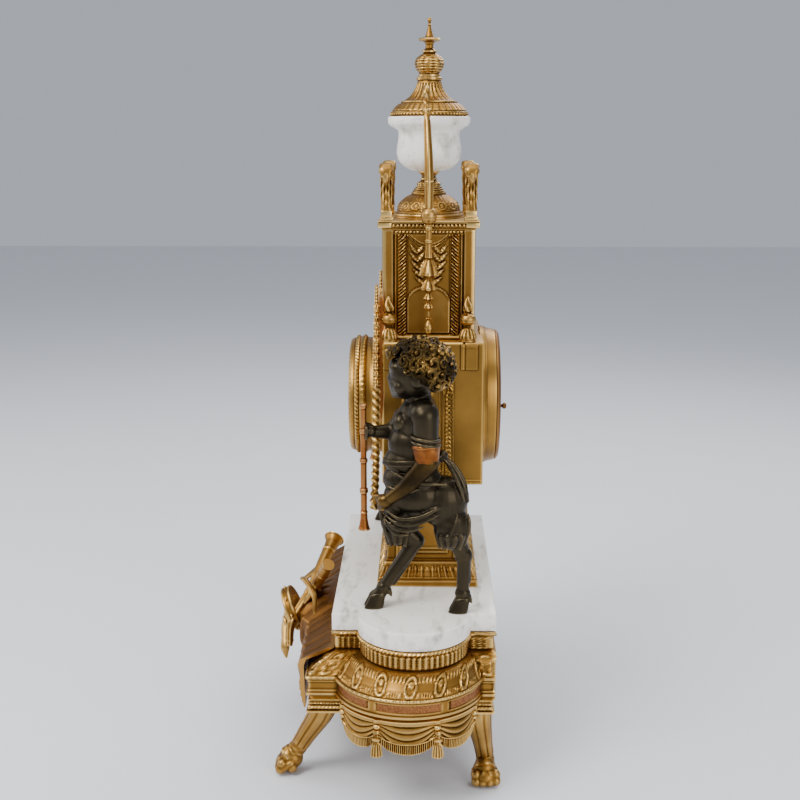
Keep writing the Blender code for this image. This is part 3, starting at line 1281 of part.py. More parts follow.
def balance_and_bell():
    """Balance wheel on the back plate, the bell on its post, and the hammer that strikes its rim."""
    y = BACK_PLATE_Y + PLATE_THICKNESS + 3 * MM
    rim = flat(circle(BALANCE_RADIUS), 2 * MM, [circle(BALANCE_RADIUS - 1.6 * MM)])
    rim = facing_front(rim, BALANCE_CENTRE[0], y + 1 * MM, AXIS_Z + BALANCE_CENTRE[1])
    x, z = BALANCE_CENTRE[0], AXIS_Z + BALANCE_CENTRE[1]
    reach = BALANCE_RADIUS - 0.8 * MM
    bar = box((x - reach, y + 0.4 * MM, z - 0.7 * MM), (x + reach, y + 1.6 * MM, z + 0.7 * MM))
    staff = arbor(BALANCE_CENTRE, BACK_PLATE_Y + GAP, y + 4 * MM, ARBOR_RADIUS)
    add_part("balance_wheel", union(rim, bar, staff), "brass")

    r = BELL_RADIUS
    depth = 18 * MM
    wall = 1.6 * MM
    top = BACK_PLATE_Y + 26 * MM
    outside = [(0.45 * r, 0.0), (0.80 * r, -3 * MM), (0.95 * r, -9 * MM), (r, -depth)]
    inside = [(r - wall, -depth), (0.95 * r - wall, -9 * MM), (0.80 * r - wall, -4 * MM), (0.42 * r, -wall)]
    bore = 3 * MM + GAP
    loop = [(bore, 0.0), *outside, *inside, (bore, -wall), (bore, 0.0)]
    add_part("bell", turned(loop, (0, top, AXIS_Z), axis="Y", steps=20), "brass")

    x, z = HAMMER_CENTRE[0], AXIS_Z + HAMMER_CENTRE[1]
    y = top - depth + 4 * MM
    staff = arbor(HAMMER_CENTRE, BACK_PLATE_Y + GAP, y + 2 * MM, ARBOR_RADIUS)
    head_x = -(BELL_RADIUS + 1.2 * MM)
    lever = cylinder((x, y, z), (x, y, AXIS_Z), 1.1 * MM, 8)
    head = cylinder((head_x - 5 * MM, y, AXIS_Z), (head_x, y, AXIS_Z), 3 * MM, 14)
    add_part("strike_hammer", union(head, lever, staff), "steel")


def rear_cover():
    """The dished rear door, hinged on a pin that is riveted into the case's rear ring."""
    r = COVER_RADIUS
    t = COVER_THICKNESS
    dished = [(0.0, t + 1.5 * MM), (0.7 * r, t + 1 * MM), (r - 2 * MM, t), (r, t - 1 * MM)]
    profile = [*dished, (r, 0.0), (0.0, 0.0)]
    disc = turned(profile, (0, RING_BACK_Y + GAP, AXIS_Z), axis="Y", steps=32)
    knob_x = r - 9 * MM
    y = RING_BACK_Y + 2 * MM
    knob = cylinder((knob_x, y, AXIS_Z), (knob_x, y + 6 * MM, AXIS_Z), 2.5 * MM, 12)
    x = -(r + HINGE_RADIUS)
    y = COVER_HINGE_Y
    low, high = AXIS_Z - 5 * MM + GAP, AXIS_Z + 5 * MM - GAP
    barrel = cylinder((x, y, low), (x, y, high), HINGE_RADIUS, 10)
    arm = box((x, y - 1.1 * MM, low), (3 * MM - r, y + 1.1 * MM, high))
    pin = cylinder((x, y, AXIS_Z - 12 * MM), (x, y, AXIS_Z + 12 * MM), PIN_RADIUS + RUNNING, 8)
    add_part("rear_cover", cut(union(disc, knob, barrel, arm), pin), "black_steel")


def centre_under_whole():
    """Moves every part forward or back, so that the origin is under the middle of the whole clock."""
    reach = [corner[1] for obj in PARTS.objects for corner in obj.bound_box]
    shift = Vector((0, -(min(reach) + max(reach)) / 2, 0))
    for obj in PARTS.objects:
        obj.data.transform(Matrix.Translation(shift))
    return shift


def place_pivots(shift):
    """Puts each moving piece's origin on its joint's axis."""
    right, left = barrel_centre(1), barrel_centre(-1)
    pivots = {
        ("bezel", "dial_glass"): (-(DRUM_RADIUS + HINGE_RADIUS), HINGE_Y, 0.0),
        ("rear_cover",): (-(COVER_RADIUS + HINGE_RADIUS), COVER_HINGE_Y, 0.0),
        ("centre_arbor", "minute_hand", "hour_wheel", "hour_hand"): (0.0, FRONT_PLATE_Y, 0.0),
        ("going_barrel",): (right[0], FRONT_PLATE_Y, right[1]),
        ("strike_barrel",): (left[0], FRONT_PLATE_Y, left[1]),
        ("third_wheel",): (THIRD_CENTRE[0], FRONT_PLATE_Y, THIRD_CENTRE[1]),
        ("minute_wheel",): (MINUTE_CENTRE[0], FRONT_PLATE_Y, MINUTE_CENTRE[1]),
        ("balance_wheel",): (BALANCE_CENTRE[0], BACK_PLATE_Y, BALANCE_CENTRE[1]),
        ("strike_hammer",): (HAMMER_CENTRE[0], BACK_PLATE_Y, HAMMER_CENTRE[1]),
    }
    for names, (x, y, z) in pivots.items():
        pivot = Vector((x, y, AXIS_Z + z)) + shift
        for name in names:
            obj = PARTS.objects[name]
            obj.data.transform(Matrix.Translation(-pivot))
            obj.location = pivot


def main():
    global PARTS, CUTTERS
    clear_scene()
    PARTS = new_collection("faun_mantel_clock")
    CUTTERS = new_collection("cutters")
    add_material("brass", (0.62, 0.40, 0.14), 1.0, 0.35)
    add_material("dark_brass", (0.36, 0.21, 0.09), 1.0, 0.45)
    add_material("marble", (0.86, 0.83, 0.76), 0.0, 0.25)
    add_material("bronze", (0.06, 0.05, 0.04), 1.0, 0.40)
    add_material("steel", (0.55, 0.55, 0.56), 1.0, 0.35)
    add_material("black_steel", (0.03, 0.03, 0.03), 0.6, 0.40)
    add_material("enamel", (0.90, 0.89, 0.84), 0.0, 0.15)
    add_material("glass", (0.95, 0.97, 0.97), 0.0, 0.02)

    plinth_casting()
    marble_top()
    feet()
    add_pair("apron", apron(), "brass")
    add_part("front_drapery", drapery(), "dark_brass")
    trophy_casting()
    pedestal_casting()
    case_front()
    case_back()
    tower_casting()
    cornice_plate()
    corner_scrolls()
    shoulder_urns()
    dome_and_urn()
    rods()
    urn_handles()
    bellflower_drops()
    add_pair("faun", faun(), "bronze")
    add_pair("garland", garland(), "brass")
    add_pair("held_pipe", held_pipe(), "brass")
    movement_ring()
    bezel()
    dial_glass()
    dial_plate()
    hands()
    plates()
    train()
    balance_and_bell()
    rear_cover()
    place_pivots(centre_under_whole())


main()
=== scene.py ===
import json
import math
import random

import bmesh
import bpy
import numpy as np
from mathutils import Matrix, Vector


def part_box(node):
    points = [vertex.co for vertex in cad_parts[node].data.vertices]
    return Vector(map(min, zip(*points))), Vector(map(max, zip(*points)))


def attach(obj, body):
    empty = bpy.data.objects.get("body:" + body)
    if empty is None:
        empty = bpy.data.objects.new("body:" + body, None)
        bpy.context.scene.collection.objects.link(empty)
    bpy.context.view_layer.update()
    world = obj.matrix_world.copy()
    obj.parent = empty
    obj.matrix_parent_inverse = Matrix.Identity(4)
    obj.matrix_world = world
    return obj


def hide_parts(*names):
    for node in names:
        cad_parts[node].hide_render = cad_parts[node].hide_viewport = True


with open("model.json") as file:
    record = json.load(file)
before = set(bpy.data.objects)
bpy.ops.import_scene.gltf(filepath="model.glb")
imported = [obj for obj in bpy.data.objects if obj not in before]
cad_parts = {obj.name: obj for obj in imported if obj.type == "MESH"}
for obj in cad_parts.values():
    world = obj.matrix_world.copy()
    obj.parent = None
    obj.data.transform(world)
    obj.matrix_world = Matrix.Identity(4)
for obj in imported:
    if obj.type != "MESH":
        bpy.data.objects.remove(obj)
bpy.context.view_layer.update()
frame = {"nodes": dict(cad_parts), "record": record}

random.seed(11)
mm = 0.001
print("frame loaded:", len(frame["nodes"]), "nodes")

# levels and centres come from the clock's own pieces, in millimetres
slabLow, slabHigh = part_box("marble_top")
backShift = (slabLow.y + slabHigh.y) / 2 / mm  # the slab's centre line, from the origin
slabTop = slabHigh.z / mm
slabFoot = slabLow.z / mm
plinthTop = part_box("plinth_casting")[1].z / mm
pedLow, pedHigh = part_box("pedestal_casting")
caseLow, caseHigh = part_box("case_front")
towerLow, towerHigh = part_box("tower_casting")
corniceLow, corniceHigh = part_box("cornice_plate")
axisY = (towerLow.y + towerHigh.y) / 2 / mm  # the case and the tower stand round this line
dialLow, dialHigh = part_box("dial_plate")
dialZ = (dialLow.z + dialHigh.z) / 2 / mm


def footOf(node):
    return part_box(node)[0].z / mm


def middleOf(node):
    # the middle of a piece seen from above, and its foot
    low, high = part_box(node)
    return (low.x + high.x) / 2 / mm, (low.y + high.y) / 2 / mm, low.z / mm


# small helpers for objects, meshes and paths

def deselectAll():
    if bpy.context.mode != "OBJECT":
        bpy.ops.object.mode_set(mode="OBJECT")
    bpy.ops.object.select_all(action="DESELECT")


def activate(obj):
    deselectAll()
    obj.select_set(True)
    bpy.context.view_layer.objects.active = obj


def applyAll(obj):
    activate(obj)
    bpy.ops.object.transform_apply(location=True, rotation=True, scale=True)


def addModifier(obj, kind, **settings):
    activate(obj)
    mod = obj.modifiers.new(kind.lower(), kind)
    for key, value in settings.items():
        setattr(mod, key, value)
    bpy.ops.object.modifier_apply(modifier=mod.name)


def joinAll(objs, name):
    deselectAll()
    for obj in objs:
        obj.select_set(True)
    bpy.context.view_layer.objects.active = objs[0]
    if len(objs) > 1:
        bpy.ops.object.join()
    objs[0].name = name
    return objs[0]


def copyOf(obj, name, matrix):
    mesh = obj.data.copy()
    mesh.transform(matrix)
    if matrix.determinant() < 0:
        mesh.flip_normals()
    other = bpy.data.objects.new(name, mesh)
    bpy.context.scene.collection.objects.link(other)
    return other


def mirrored(obj, name):
    return copyOf(obj, name, Matrix.Diagonal((-1, 1, 1, 1)))


def shiftBy(x, y, z):
    return Matrix.Translation((x * mm, y * mm, z * mm))


def smooth(obj, angle=40):
    activate(obj)
    bpy.ops.object.shade_smooth_by_angle(angle=math.radians(angle))


def finishPiece(obj, material, body, nodes=(), angle=40):
    obj.data.materials.clear()
    obj.data.materials.append(material)
    smooth(obj, angle)
    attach(obj, body)
    if nodes:
        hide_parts(*nodes)
    return obj


def closedSkin(obj, mergeDistance=0.0, fill=False):
    # merges doubles, closes the open rims and turns the faces outwards
    activate(obj)
    bpy.ops.object.mode_set(mode="EDIT")
    bpy.ops.mesh.select_all(action="SELECT")
    if mergeDistance:
        bpy.ops.mesh.remove_doubles(threshold=mergeDistance)
    if fill:
        bpy.ops.mesh.fill_holes(sides=0)
    bpy.ops.mesh.normals_make_consistent(inside=False)
    bpy.ops.object.mode_set(mode="OBJECT")
    return obj


def gridPiece(name, grid, closeU=False, closeV=False, capLow=False, capHigh=False):
    # skins a grid of points (millimetres), rows along u and columns along v
    rows, cols = grid.shape[:2]
    verts = (grid.reshape(-1, 3) * mm).tolist()
    index = np.arange(rows * cols).reshape(rows, cols)
    nextU = np.roll(index, -1, axis=0)
    nextV = np.roll(index, -1, axis=1)
    nextUV = np.roll(nextU, -1, axis=1)
    lastU = rows if closeU else rows - 1
    lastV = cols if closeV else cols - 1
    quads = np.stack([index, nextU, nextUV, nextV], axis=-1)[:lastU, :lastV].reshape(-1, 4)
    faces = quads.tolist()
    if capLow:
        faces.append(index[:, 0].tolist()[::-1])
    if capHigh:
        faces.append(index[:, -1].tolist())
    mesh = bpy.data.meshes.new(name)
    mesh.from_pydata(verts, [], faces)
    obj = bpy.data.objects.new(name, mesh)
    bpy.context.scene.collection.objects.link(obj)
    return closedSkin(obj, mergeDistance=0.00001)


def resample(points, step):
    # a polyline with a point about every step, that keeps its corners
    out = [points[0]]
    for a, b in zip(points, points[1:]):
        count = max(1, round(math.dist(a, b) / step))
        for k in range(1, count + 1):
            out.append(tuple(p + (q - p) * k / count for p, q in zip(a, b)))
    return out


def catmull(points, perSpan=6):
    pts = [Vector(p) for p in points]
    pts = [2 * pts[0] - pts[1], *pts, 2 * pts[-1] - pts[-2]]
    path = []
    for p0, p1, p2, p3 in zip(pts, pts[1:], pts[2:], pts[3:]):
        for k in range(perSpan):
            t = k / perSpan
            path.append(0.5 * (2 * p1 + (p2 - p0) * t + (2 * p0 - 5 * p1 + 4 * p2 - p3) * t * t
                               + (3 * p1 - p0 - 3 * p2 + p3) * t ** 3))
    path.append(pts[-2])
    return path


# relief patterns: heights in millimetres over a flat stretch, u across and z up

def bump(distance, width):
    return np.sqrt(np.clip(1 - (distance / width) ** 2, 0, 1))


def wrapTo(u, pitch):
    return u - pitch * np.round(u / pitch)


def beads(u, z, centre, radius, pitch):
    return radius * bump(np.hypot(wrapTo(u, pitch), z - centre), radius)


def ropeBand(u, z, centre, radius, pitch):
    body = radius * bump(np.abs(z - centre), radius)
    return body * (0.72 + 0.28 * np.cos(2 * np.pi * (u + (z - centre)) / pitch))


def reeds(u, z, low, high, pitch, height):
    # round-ended reeds that stand side by side
    width = pitch * 0.36
    x = np.abs(wrapTo(u, pitch))
    over = np.maximum(np.maximum(z - (high - width), (low + width) - z), 0)
    return height * bump(np.hypot(x, over), width)


def ridge(value, centre, width, height):
    return height * bump(np.abs(value - centre), width)


def frameLine(u, z, halfU, low, high, width, height):
    # a raised rectangular frame
    mid, halfZ = (low + high) / 2, (high - low) / 2
    edge = np.maximum(np.abs(u) - halfU, np.abs(z - mid) - halfZ)
    return height * bump(np.abs(edge), width)


def leaf(u, z, x0, z0, angle, length, width, height):
    # one pointed leaf with a midrib, its root at (x0, z0)
    c, s = math.cos(angle), math.sin(angle)
    along = ((u - x0) * c + (z - z0) * s) / length
    across = -(u - x0) * s + (z - z0) * c
    half = width * np.sqrt(np.clip(along * (1 - along) * 4, 0, 1)) * (1.15 - 0.4 * along)
    inside = (along > 0) & (along < 1) & (np.abs(across) < half)
    body = bump(np.abs(across), np.maximum(half, 0.01))
    rib = 0.35 * np.exp(-(across / (0.18 * width)) ** 2)
    return np.where(inside, height * (body * (0.8 + 0.2 * np.cos(along * 22)) + rib * body), 0)


def acanthusRow(u, z, low, high, pitch, height):
    # upright lobed leaves with a slim one between each pair
    t = np.clip((z - low) / (high - low), 0, 1)
    x = wrapTo(u, pitch)
    half = pitch * 0.46 * np.sqrt(np.clip(1 - t ** 2.2, 0, 1)) * (0.86 + 0.14 * np.abs(np.cos(t * 9)))
    main = bump(np.abs(x), np.maximum(half, 0.01)) * (0.75 + 0.25 * np.cos(x * 10 / pitch * 2))
    rib = np.exp(-(x / (0.06 * pitch)) ** 2) * 0.4
    y = wrapTo(u + pitch / 2, pitch)
    thin = bump(np.abs(y), np.maximum(pitch * 0.14 * np.sqrt(np.clip(1 - t, 0, 1)), 0.01)) * 0.6
    inside = (z > low) & (z < high)
    return np.where(inside, height * np.maximum(main + rib * (main > 0), thin), 0)


def ovalScrolls(u, z, low, high, pitch, height):
    # rings linked side by side, each with a bud inside and a leaf fan between
    mid, half = (low + high) / 2, (high - low) / 2
    x = wrapTo(u, pitch)
    ring = np.hypot(x / (pitch * 0.40), (z - mid) / (half * 0.92))
    line = bump(np.abs(ring - 0.80), 0.15)
    bud = 0.8 * bump(np.hypot(x / (pitch * 0.15), (z - mid) / (half * 0.5)), 1)
    y = wrapTo(u + pitch / 2, pitch)
    fan = 0.7 * bump(np.abs(y), pitch * 0.13) * (0.6 + 0.4 * np.cos((z - low) * 3.2))
    inside = (z > low) & (z < high)
    return np.where(inside, height * np.maximum(np.maximum(line, bud), fan), 0)


# outlines seen from above, in millimetres from the slab's centre

outlineSet = {
    "halfWidth": (slabHigh.x - slabLow.x) / 2 / mm - 40.0,  # out to the lobes' shoulders
    "halfDepth": (slabHigh.y - slabLow.y) / 2 / mm,
    "lobeRadius": 43.0,
    "lobeSetback": 3.0,
    "spread": 15.0,
    "frontExtra": 4.0,
    "lobeShift": 4.0,
}


def planOutline(spread, counts=(8, 150, 14, 240)):
    # runs from the back right corner round the right lobe, the front, the left lobe and the back
    o = outlineSet
    share = max(spread, 0) / o["spread"]
    endX = o["halfWidth"] + spread
    backY = o["halfDepth"] + min(spread, -1.5 * share)
    frontY = -o["halfDepth"] - spread - o["frontExtra"] * share
    radius = o["lobeRadius"] + spread
    centreX = o["halfWidth"] - o["lobeSetback"]
    centreY = -o["lobeShift"] * share
    limit = math.acos((endX - centreX) / radius)
    shortCount, arcCount, sideCount, frontCount = counts
    arcTop = (endX, centreY + radius * math.sin(limit))
    arcLow = (endX, centreY - radius * math.sin(limit))
    pts, along, part = [], [], []

    def straight(a, b, count, name):
        length = math.dist(a, b)
        for k in range(count):
            t = k / count
            pts.append((a[0] + (b[0] - a[0]) * t, a[1] + (b[1] - a[1]) * t))
            along.append((t - 0.5) * length)
            part.append(name)

    def arc(side):
        for k in range(arcCount):
            t = k / arcCount
            angle = limit - 2 * limit * t if side > 0 else -limit + 2 * limit * t
            pts.append((side * (centreX + radius * math.cos(angle)), centreY + radius * math.sin(angle)))
            along.append((t - 0.5) * 2 * limit * radius)
            part.append(1)

    straight((endX, backY), arcTop, shortCount, 0)
    arc(1)
    straight(arcLow, (endX, frontY), sideCount, 2)
    straight((endX, frontY), (-endX, frontY), frontCount, 3)
    straight((-endX, frontY), (-arcLow[0], arcLow[1]), sideCount, 2)
    arc(-1)
    straight((-arcTop[0], arcTop[1]), (-endX, backY), shortCount, 0)
    straight((-endX, backY), (endX, backY), frontCount // 2, 4)
    return np.array(pts), np.array(along), np.array(part)


def boxOutline(halfX, halfY, step=0.8, centreY=0.0):
    # clockwise from above, like the outline of the base
    nx, ny = max(2, round(2 * halfX / step)), max(2, round(2 * halfY / step))

    def outline(spread):
        hx, hy = halfX + spread, halfY + spread
        corners = [(hx, hy), (hx, -hy), (-hx, -hy), (-hx, hy), (hx, hy)]
        pts, along, part = [], [], []
        for side, (a, b) in enumerate(zip(corners, corners[1:])):
            count = ny if side % 2 == 0 else nx
            for k in range(count):
                t = k / count
                pts.append((a[0] + (b[0] - a[0]) * t, centreY + a[1] + (b[1] - a[1]) * t))
                along.append((t - 0.5) * math.dist(a, b))
                part.append(side)
        return np.array(pts), np.array(along), np.array(part)

    return outline


def sweepCasting(name, outline, profile, relief, innerProfile=(), shiftY=0.0):
    # carries a profile (spread, height) round an outline and raises the relief along the surface's normal
    whole = list(profile) + list(innerProfile)
    rings, uu, zz, parts = [], [], [], []
    for spread, height in whole:
        pts, along, part = outline(spread)
        ring = np.column_stack([pts[:, 0], pts[:, 1] + shiftY, np.full(len(pts), height)])
        rings.append(ring)
        uu.append(along)
        zz.append(np.full(len(pts), height))
        parts.append(part)
    grid = np.stack(rings, axis=1)
    u, z, part = np.stack(uu, axis=1), np.stack(zz, axis=1), np.stack(parts, axis=1)
    alongU = np.roll(grid, -1, axis=0) - np.roll(grid, 1, axis=0)
    alongV = np.gradient(grid[:, : len(profile)], axis=1)
    normal = np.cross(alongV, alongU[:, : len(profile)])
    normal /= np.maximum(np.linalg.norm(normal, axis=2, keepdims=True), 1e-9)
    outward = grid[:, : len(profile), :2] - np.array([0, shiftY])
    flip = np.sign((normal[..., :2] * outward).sum(axis=2).mean()) or 1
    height = relief(u[:, : len(profile)], z[:, : len(profile)], part[:, : len(profile)])
    grid[:, : len(profile)] += normal * flip * height[..., None]
    return gridPiece(name, grid, closeU=True, closeV=bool(innerProfile),
                     capLow=not innerProfile, capHigh=not innerProfile)


def fromLevel(level, points):
    # a profile's points with their second figure counted from a level
    return [(across, level + rise) for across, rise in points]


def turnedRelief(name, profile, centre, steps=160, relief=None, step=0.7):
    # a turned casting about a vertical line: profile runs from top to bottom outside
    prof = np.array(resample(profile, step))
    theta = np.linspace(0, 2 * np.pi, steps, endpoint=False)
    radius = prof[:, 0][None, :] + np.zeros((steps, 1))
    if relief is not None:
        radius = radius + relief(theta[:, None], prof[:, 1][None, :], prof[:, 0][None, :])
    radius = np.maximum(radius, 0)
    grid = np.stack([centre[0] + radius * np.cos(theta)[:, None],
                     centre[1] + radius * np.sin(theta)[:, None],
                     centre[2] + prof[:, 1][None, :] + np.zeros((steps, 1))], axis=-1)
    return gridPiece(name, grid, closeU=True, capLow=prof[0, 0] > 0.01, capHigh=prof[-1, 0] > 0.01)


# materials

def hexColour(code):
    # sRGB hex to linear
    parts = [int(code[k:k + 2], 16) / 255 for k in (0, 2, 4)]
    return tuple(c / 12.92 if c <= 0.04045 else ((c + 0.055) / 1.055) ** 2.4 for c in parts) + (1.0,)


def addNode(tree, kind, settings=None, links=None):
    # adds one node: settings go to sockets by name or to attributes, links join its inputs
    node = tree.nodes.new(kind)
    for key, value in (settings or {}).items():
        if isinstance(key, str) and hasattr(node, key):
            setattr(node, key, value)
        else:
            node.inputs[key].default_value = value
    for key, source in (links or {}).items():
        tree.links.new(source, node.inputs[key])
    return node


def setRamp(node, stops):
    ramp = node.color_ramp
    while len(ramp.elements) < len(stops):
        ramp.elements.new(0.5)
    for element, (place, colour) in zip(ramp.elements, stops):
        element.position = place
        element.color = colour if len(colour) == 4 else (*colour, 1)
    return node


def newMaterial(name):
    material = bpy.data.materials.new(name)
    material.use_nodes = True
    tree = material.node_tree
    shader = tree.nodes["Principled BSDF"]
    coords = addNode(tree, "ShaderNodeTexCoord")
    return material, tree, shader, coords.outputs["Object"]


def castMetal(name, dark, mid, bright, roughness=(0.30, 0.48), metallic=1.0, edge=(0.46, 0.56), grain=0.25,
              patches=0.5):
    # a cast metal: painted shade darkens the hollows, and edges are rubbed bright; edge is the pointiness
    # range from the painted shade to the rubbed edges
    # soft patches about 26 mm across; the casting's grain is drawn at 2 mm, coarse enough to show
    material, tree, shader, place = newMaterial(name)
    shader.inputs["Metallic"].default_value = metallic
    geometry = addNode(tree, "ShaderNodeNewGeometry")
    soft = addNode(tree, "ShaderNodeTexNoise", {"Scale": 38.0, "Detail": 4.0}, {"Vector": place})
    fine = addNode(tree, "ShaderNodeTexNoise", {"Scale": 520.0, "Detail": 3.0}, {"Vector": place})
    # pointiness paints shade into the hollows and rubbed wear onto the edges; the soft patches add real tone
    hollowShadeEdgeWear = addNode(tree, "ShaderNodeMapRange", {"From Min": edge[0], "From Max": edge[1]},
                   {"Value": geometry.outputs["Pointiness"]})
    spread = addNode(tree, "ShaderNodeMath", {"operation": "MULTIPLY_ADD", 1: patches, 2: -patches / 2},
                     {0: soft.outputs[0]})
    mixed = addNode(tree, "ShaderNodeMath", {"operation": "ADD", "use_clamp": True},
                    {0: hollowShadeEdgeWear.outputs[0], 1: spread.outputs[0]})
    ramp = setRamp(addNode(tree, "ShaderNodeValToRGB", {}, {"Fac": mixed.outputs[0]}),
                   [(0.0, hexColour(dark)), (0.45, hexColour(mid)), (1.0, hexColour(bright))])
    tree.links.new(ramp.outputs[0], shader.inputs["Base Color"])
    rough = addNode(tree, "ShaderNodeMapRange", {"To Min": roughness[1], "To Max": roughness[0]},
                    {"Value": mixed.outputs[0]})
    tree.links.new(rough.outputs[0], shader.inputs["Roughness"])
    bumpNode = addNode(tree, "ShaderNodeBump", {"Strength": grain, "Distance": 0.0002},
                       {"Height": fine.outputs[0]})
    tree.links.new(bumpNode.outputs[0], shader.inputs["Normal"])
    return material


# gilded brass, chased after casting
gilt = castMetal("giltCastBrass", "47300F", "946A2E", "E2BC72", roughness=(0.30, 0.50))
giltPlain = castMetal("giltSmoothBrass", "5C4220", "9A7234", "CFA75C", roughness=(0.30, 0.42),
                      edge=(0.44, 0.60), grain=0.08)
# brass toned brown where nobody polishes it
giltDark = castMetal("tonedCastBrass", "24150A", "5C3A1C", "9A6C3A", roughness=(0.40, 0.60))
clothBrass = castMetal("wornCastBrassCloth", "33200E", "84592A", "BC8E4C", roughness=(0.36, 0.55),
                       edge=(0.46, 0.58))
copperGilt = castMetal("copperGiltRod", "341808", "9A5C2C", "E0B070", roughness=(0.32, 0.5))
# bronze with a dark patina, rubbed through to gold or copper in places
bronze = castMetal("patinatedBronze", "15110B", "3A3224", "746448", roughness=(0.27, 0.40), metallic=0.9,
                   edge=(0.44, 0.62), grain=0.12)
bronzeHair = castMetal("bronzeHairRubbedGilt", "100C06", "33260F", "DDAE5E", roughness=(0.28, 0.46),
                       metallic=0.95, edge=(0.49, 0.66), patches=1.3)
bronzeArm = castMetal("bronzeRubbedToCopper", "2E180B", "80491F", "D09252", roughness=(0.28, 0.42),
                      metallic=0.95, edge=(0.45, 0.60), grain=0.12, patches=1.3)
bronzeWorn = castMetal("bronzeWornToGilt", "19130B", "54401F", "C8984C", roughness=(0.27, 0.40),
                       metallic=0.95, edge=(0.46, 0.60), grain=0.10, patches=1.2)
# hands and hidden steel
blackSteel = castMetal("blackenedSteel", "080808", "141312", "2C2A28", roughness=(0.35, 0.5), metallic=0.9,
                       grain=0.1)
brightSteel = castMetal("brightSteel", "6A6A6C", "9C9C9E", "C8C8CA", roughness=(0.22, 0.35), grain=0.1)


def makeMarble():
    # polished white marble: soft grey veins about 15 mm apart, and a few dark pits
    material, tree, shader, place = newMaterial("polishedWhiteMarble")
    shader.inputs["Roughness"].default_value = 0.22
    shader.inputs["IOR"].default_value = 1.49
    warp = addNode(tree, "ShaderNodeTexNoise", {"Scale": 14.0, "Detail": 5.0}, {"Vector": place})
    stretch = addNode(tree, "ShaderNodeMapping", {"Rotation": (0.2, 0.1, 0.5), "Scale": (1.0, 3.4, 2.2)},
                      {"Vector": place})
    pushed = addNode(tree, "ShaderNodeVectorMath", {"operation": "MULTIPLY_ADD", 1: (0.05, 0.05, 0.05)},
                     {0: warp.outputs["Color"], 2: stretch.outputs[0]})
    veins = addNode(tree, "ShaderNodeTexNoise", {"Scale": 22.0, "Detail": 8.0, "Roughness": 0.62},
                    {"Vector": pushed.outputs[0]})
    ramp = setRamp(addNode(tree, "ShaderNodeValToRGB", {}, {"Fac": veins.outputs[0]}),
                   [(0.27, hexColour("A8A298")), (0.38, hexColour("DAD4C8")), (0.47, hexColour("F6F1E6")),
                    (1.0, hexColour("FBF7EE"))])
    pits = addNode(tree, "ShaderNodeTexVoronoi", {"Scale": 95.0}, {"Vector": pushed.outputs[0]})
    spots = setRamp(addNode(tree, "ShaderNodeValToRGB", {}, {"Fac": pits.outputs["Distance"]}),
                    [(0.06, hexColour("6A6258")), (0.13, hexColour("FFFFFF"))])
    thin = addNode(tree, "ShaderNodeTexNoise", {"Scale": 60.0}, {"Vector": place})
    where = addNode(tree, "ShaderNodeMath", {"operation": "GREATER_THAN", 1: 0.57}, {0: thin.outputs[0]})
    blend = addNode(tree, "ShaderNodeMix", {"data_type": "RGBA", "blend_type": "MULTIPLY"},
                    {0: where.outputs[0], 6: ramp.outputs[0], 7: spots.outputs[0]})
    tree.links.new(blend.outputs[2], shader.inputs["Base Color"])
    return material


def makeStipple():
    # panel floors between the mouldings, punched all over and toned redder, a dot each 1.1 mm
    material, tree, shader, place = newMaterial("punchedReddishBrass")
    shader.inputs["Metallic"].default_value = 1.0
    shader.inputs["Roughness"].default_value = 0.5
    dots = addNode(tree, "ShaderNodeTexVoronoi", {"Scale": 900.0}, {"Vector": place})
    ramp = setRamp(addNode(tree, "ShaderNodeValToRGB", {}, {"Fac": dots.outputs["Distance"]}),
                   [(0.0, hexColour("B07848")), (1.0, hexColour("6A3C24"))])
    tree.links.new(ramp.outputs[0], shader.inputs["Base Color"])
    raised = addNode(tree, "ShaderNodeBump", {"Strength": 0.6, "Distance": 0.0004},
                     {"Height": dots.outputs["Distance"]})
    tree.links.new(raised.outputs[0], shader.inputs["Normal"])
    return material


def makeGlass():
    material, tree, shader, place = newMaterial("clearDomedGlass")
    shader.inputs["Transmission Weight"].default_value = 1.0
    shader.inputs["IOR"].default_value = 1.5
    haze = addNode(tree, "ShaderNodeTexNoise", {"Scale": 60.0}, {"Vector": place})
    rough = addNode(tree, "ShaderNodeMapRange", {"To Min": 0.0, "To Max": 0.03}, {"Value": haze.outputs[0]})
    tree.links.new(rough.outputs[0], shader.inputs["Roughness"])
    return material


def makeEnamel():
    # fired white enamel: glassy, with the faintest orange-peel
    material, tree, shader, place = newMaterial("firedWhiteEnamel")
    shader.inputs["Roughness"].default_value = 0.12
    shade = addNode(tree, "ShaderNodeTexNoise", {"Scale": 25.0}, {"Vector": place})
    ramp = setRamp(addNode(tree, "ShaderNodeValToRGB", {}, {"Fac": shade.outputs[0]}),
                   [(0.3, hexColour("EFEBDF")), (0.7, hexColour("F6F3EA"))])
    tree.links.new(ramp.outputs[0], shader.inputs["Base Color"])
    ripple = addNode(tree, "ShaderNodeTexNoise", {"Scale": 180.0}, {"Vector": place})
    raised = addNode(tree, "ShaderNodeBump", {"Strength": 0.05, "Distance": 0.0002},
                     {"Height": ripple.outputs[0]})
    tree.links.new(raised.outputs[0], shader.inputs["Normal"])
    return material


marble = makeMarble()
stipple = makeStipple()
glass = makeGlass()
enamel = makeEnamel()
bySlot = {
    "brass": giltPlain, "dark_brass": giltDark, "marble": marble, "bronze": bronze,
    "steel": brightSteel, "black_steel": blackSteel, "enamel": enamel, "glass": glass,
}
slotOf = {part["node"]: part["material_slot"] for part in frame["record"]["subparts"]}
for nodeName, nodeObj in frame["nodes"].items():
    nodeObj.data.materials.clear()
    nodeObj.data.materials.append(bySlot[slotOf[nodeName]])

# camera, light and floor

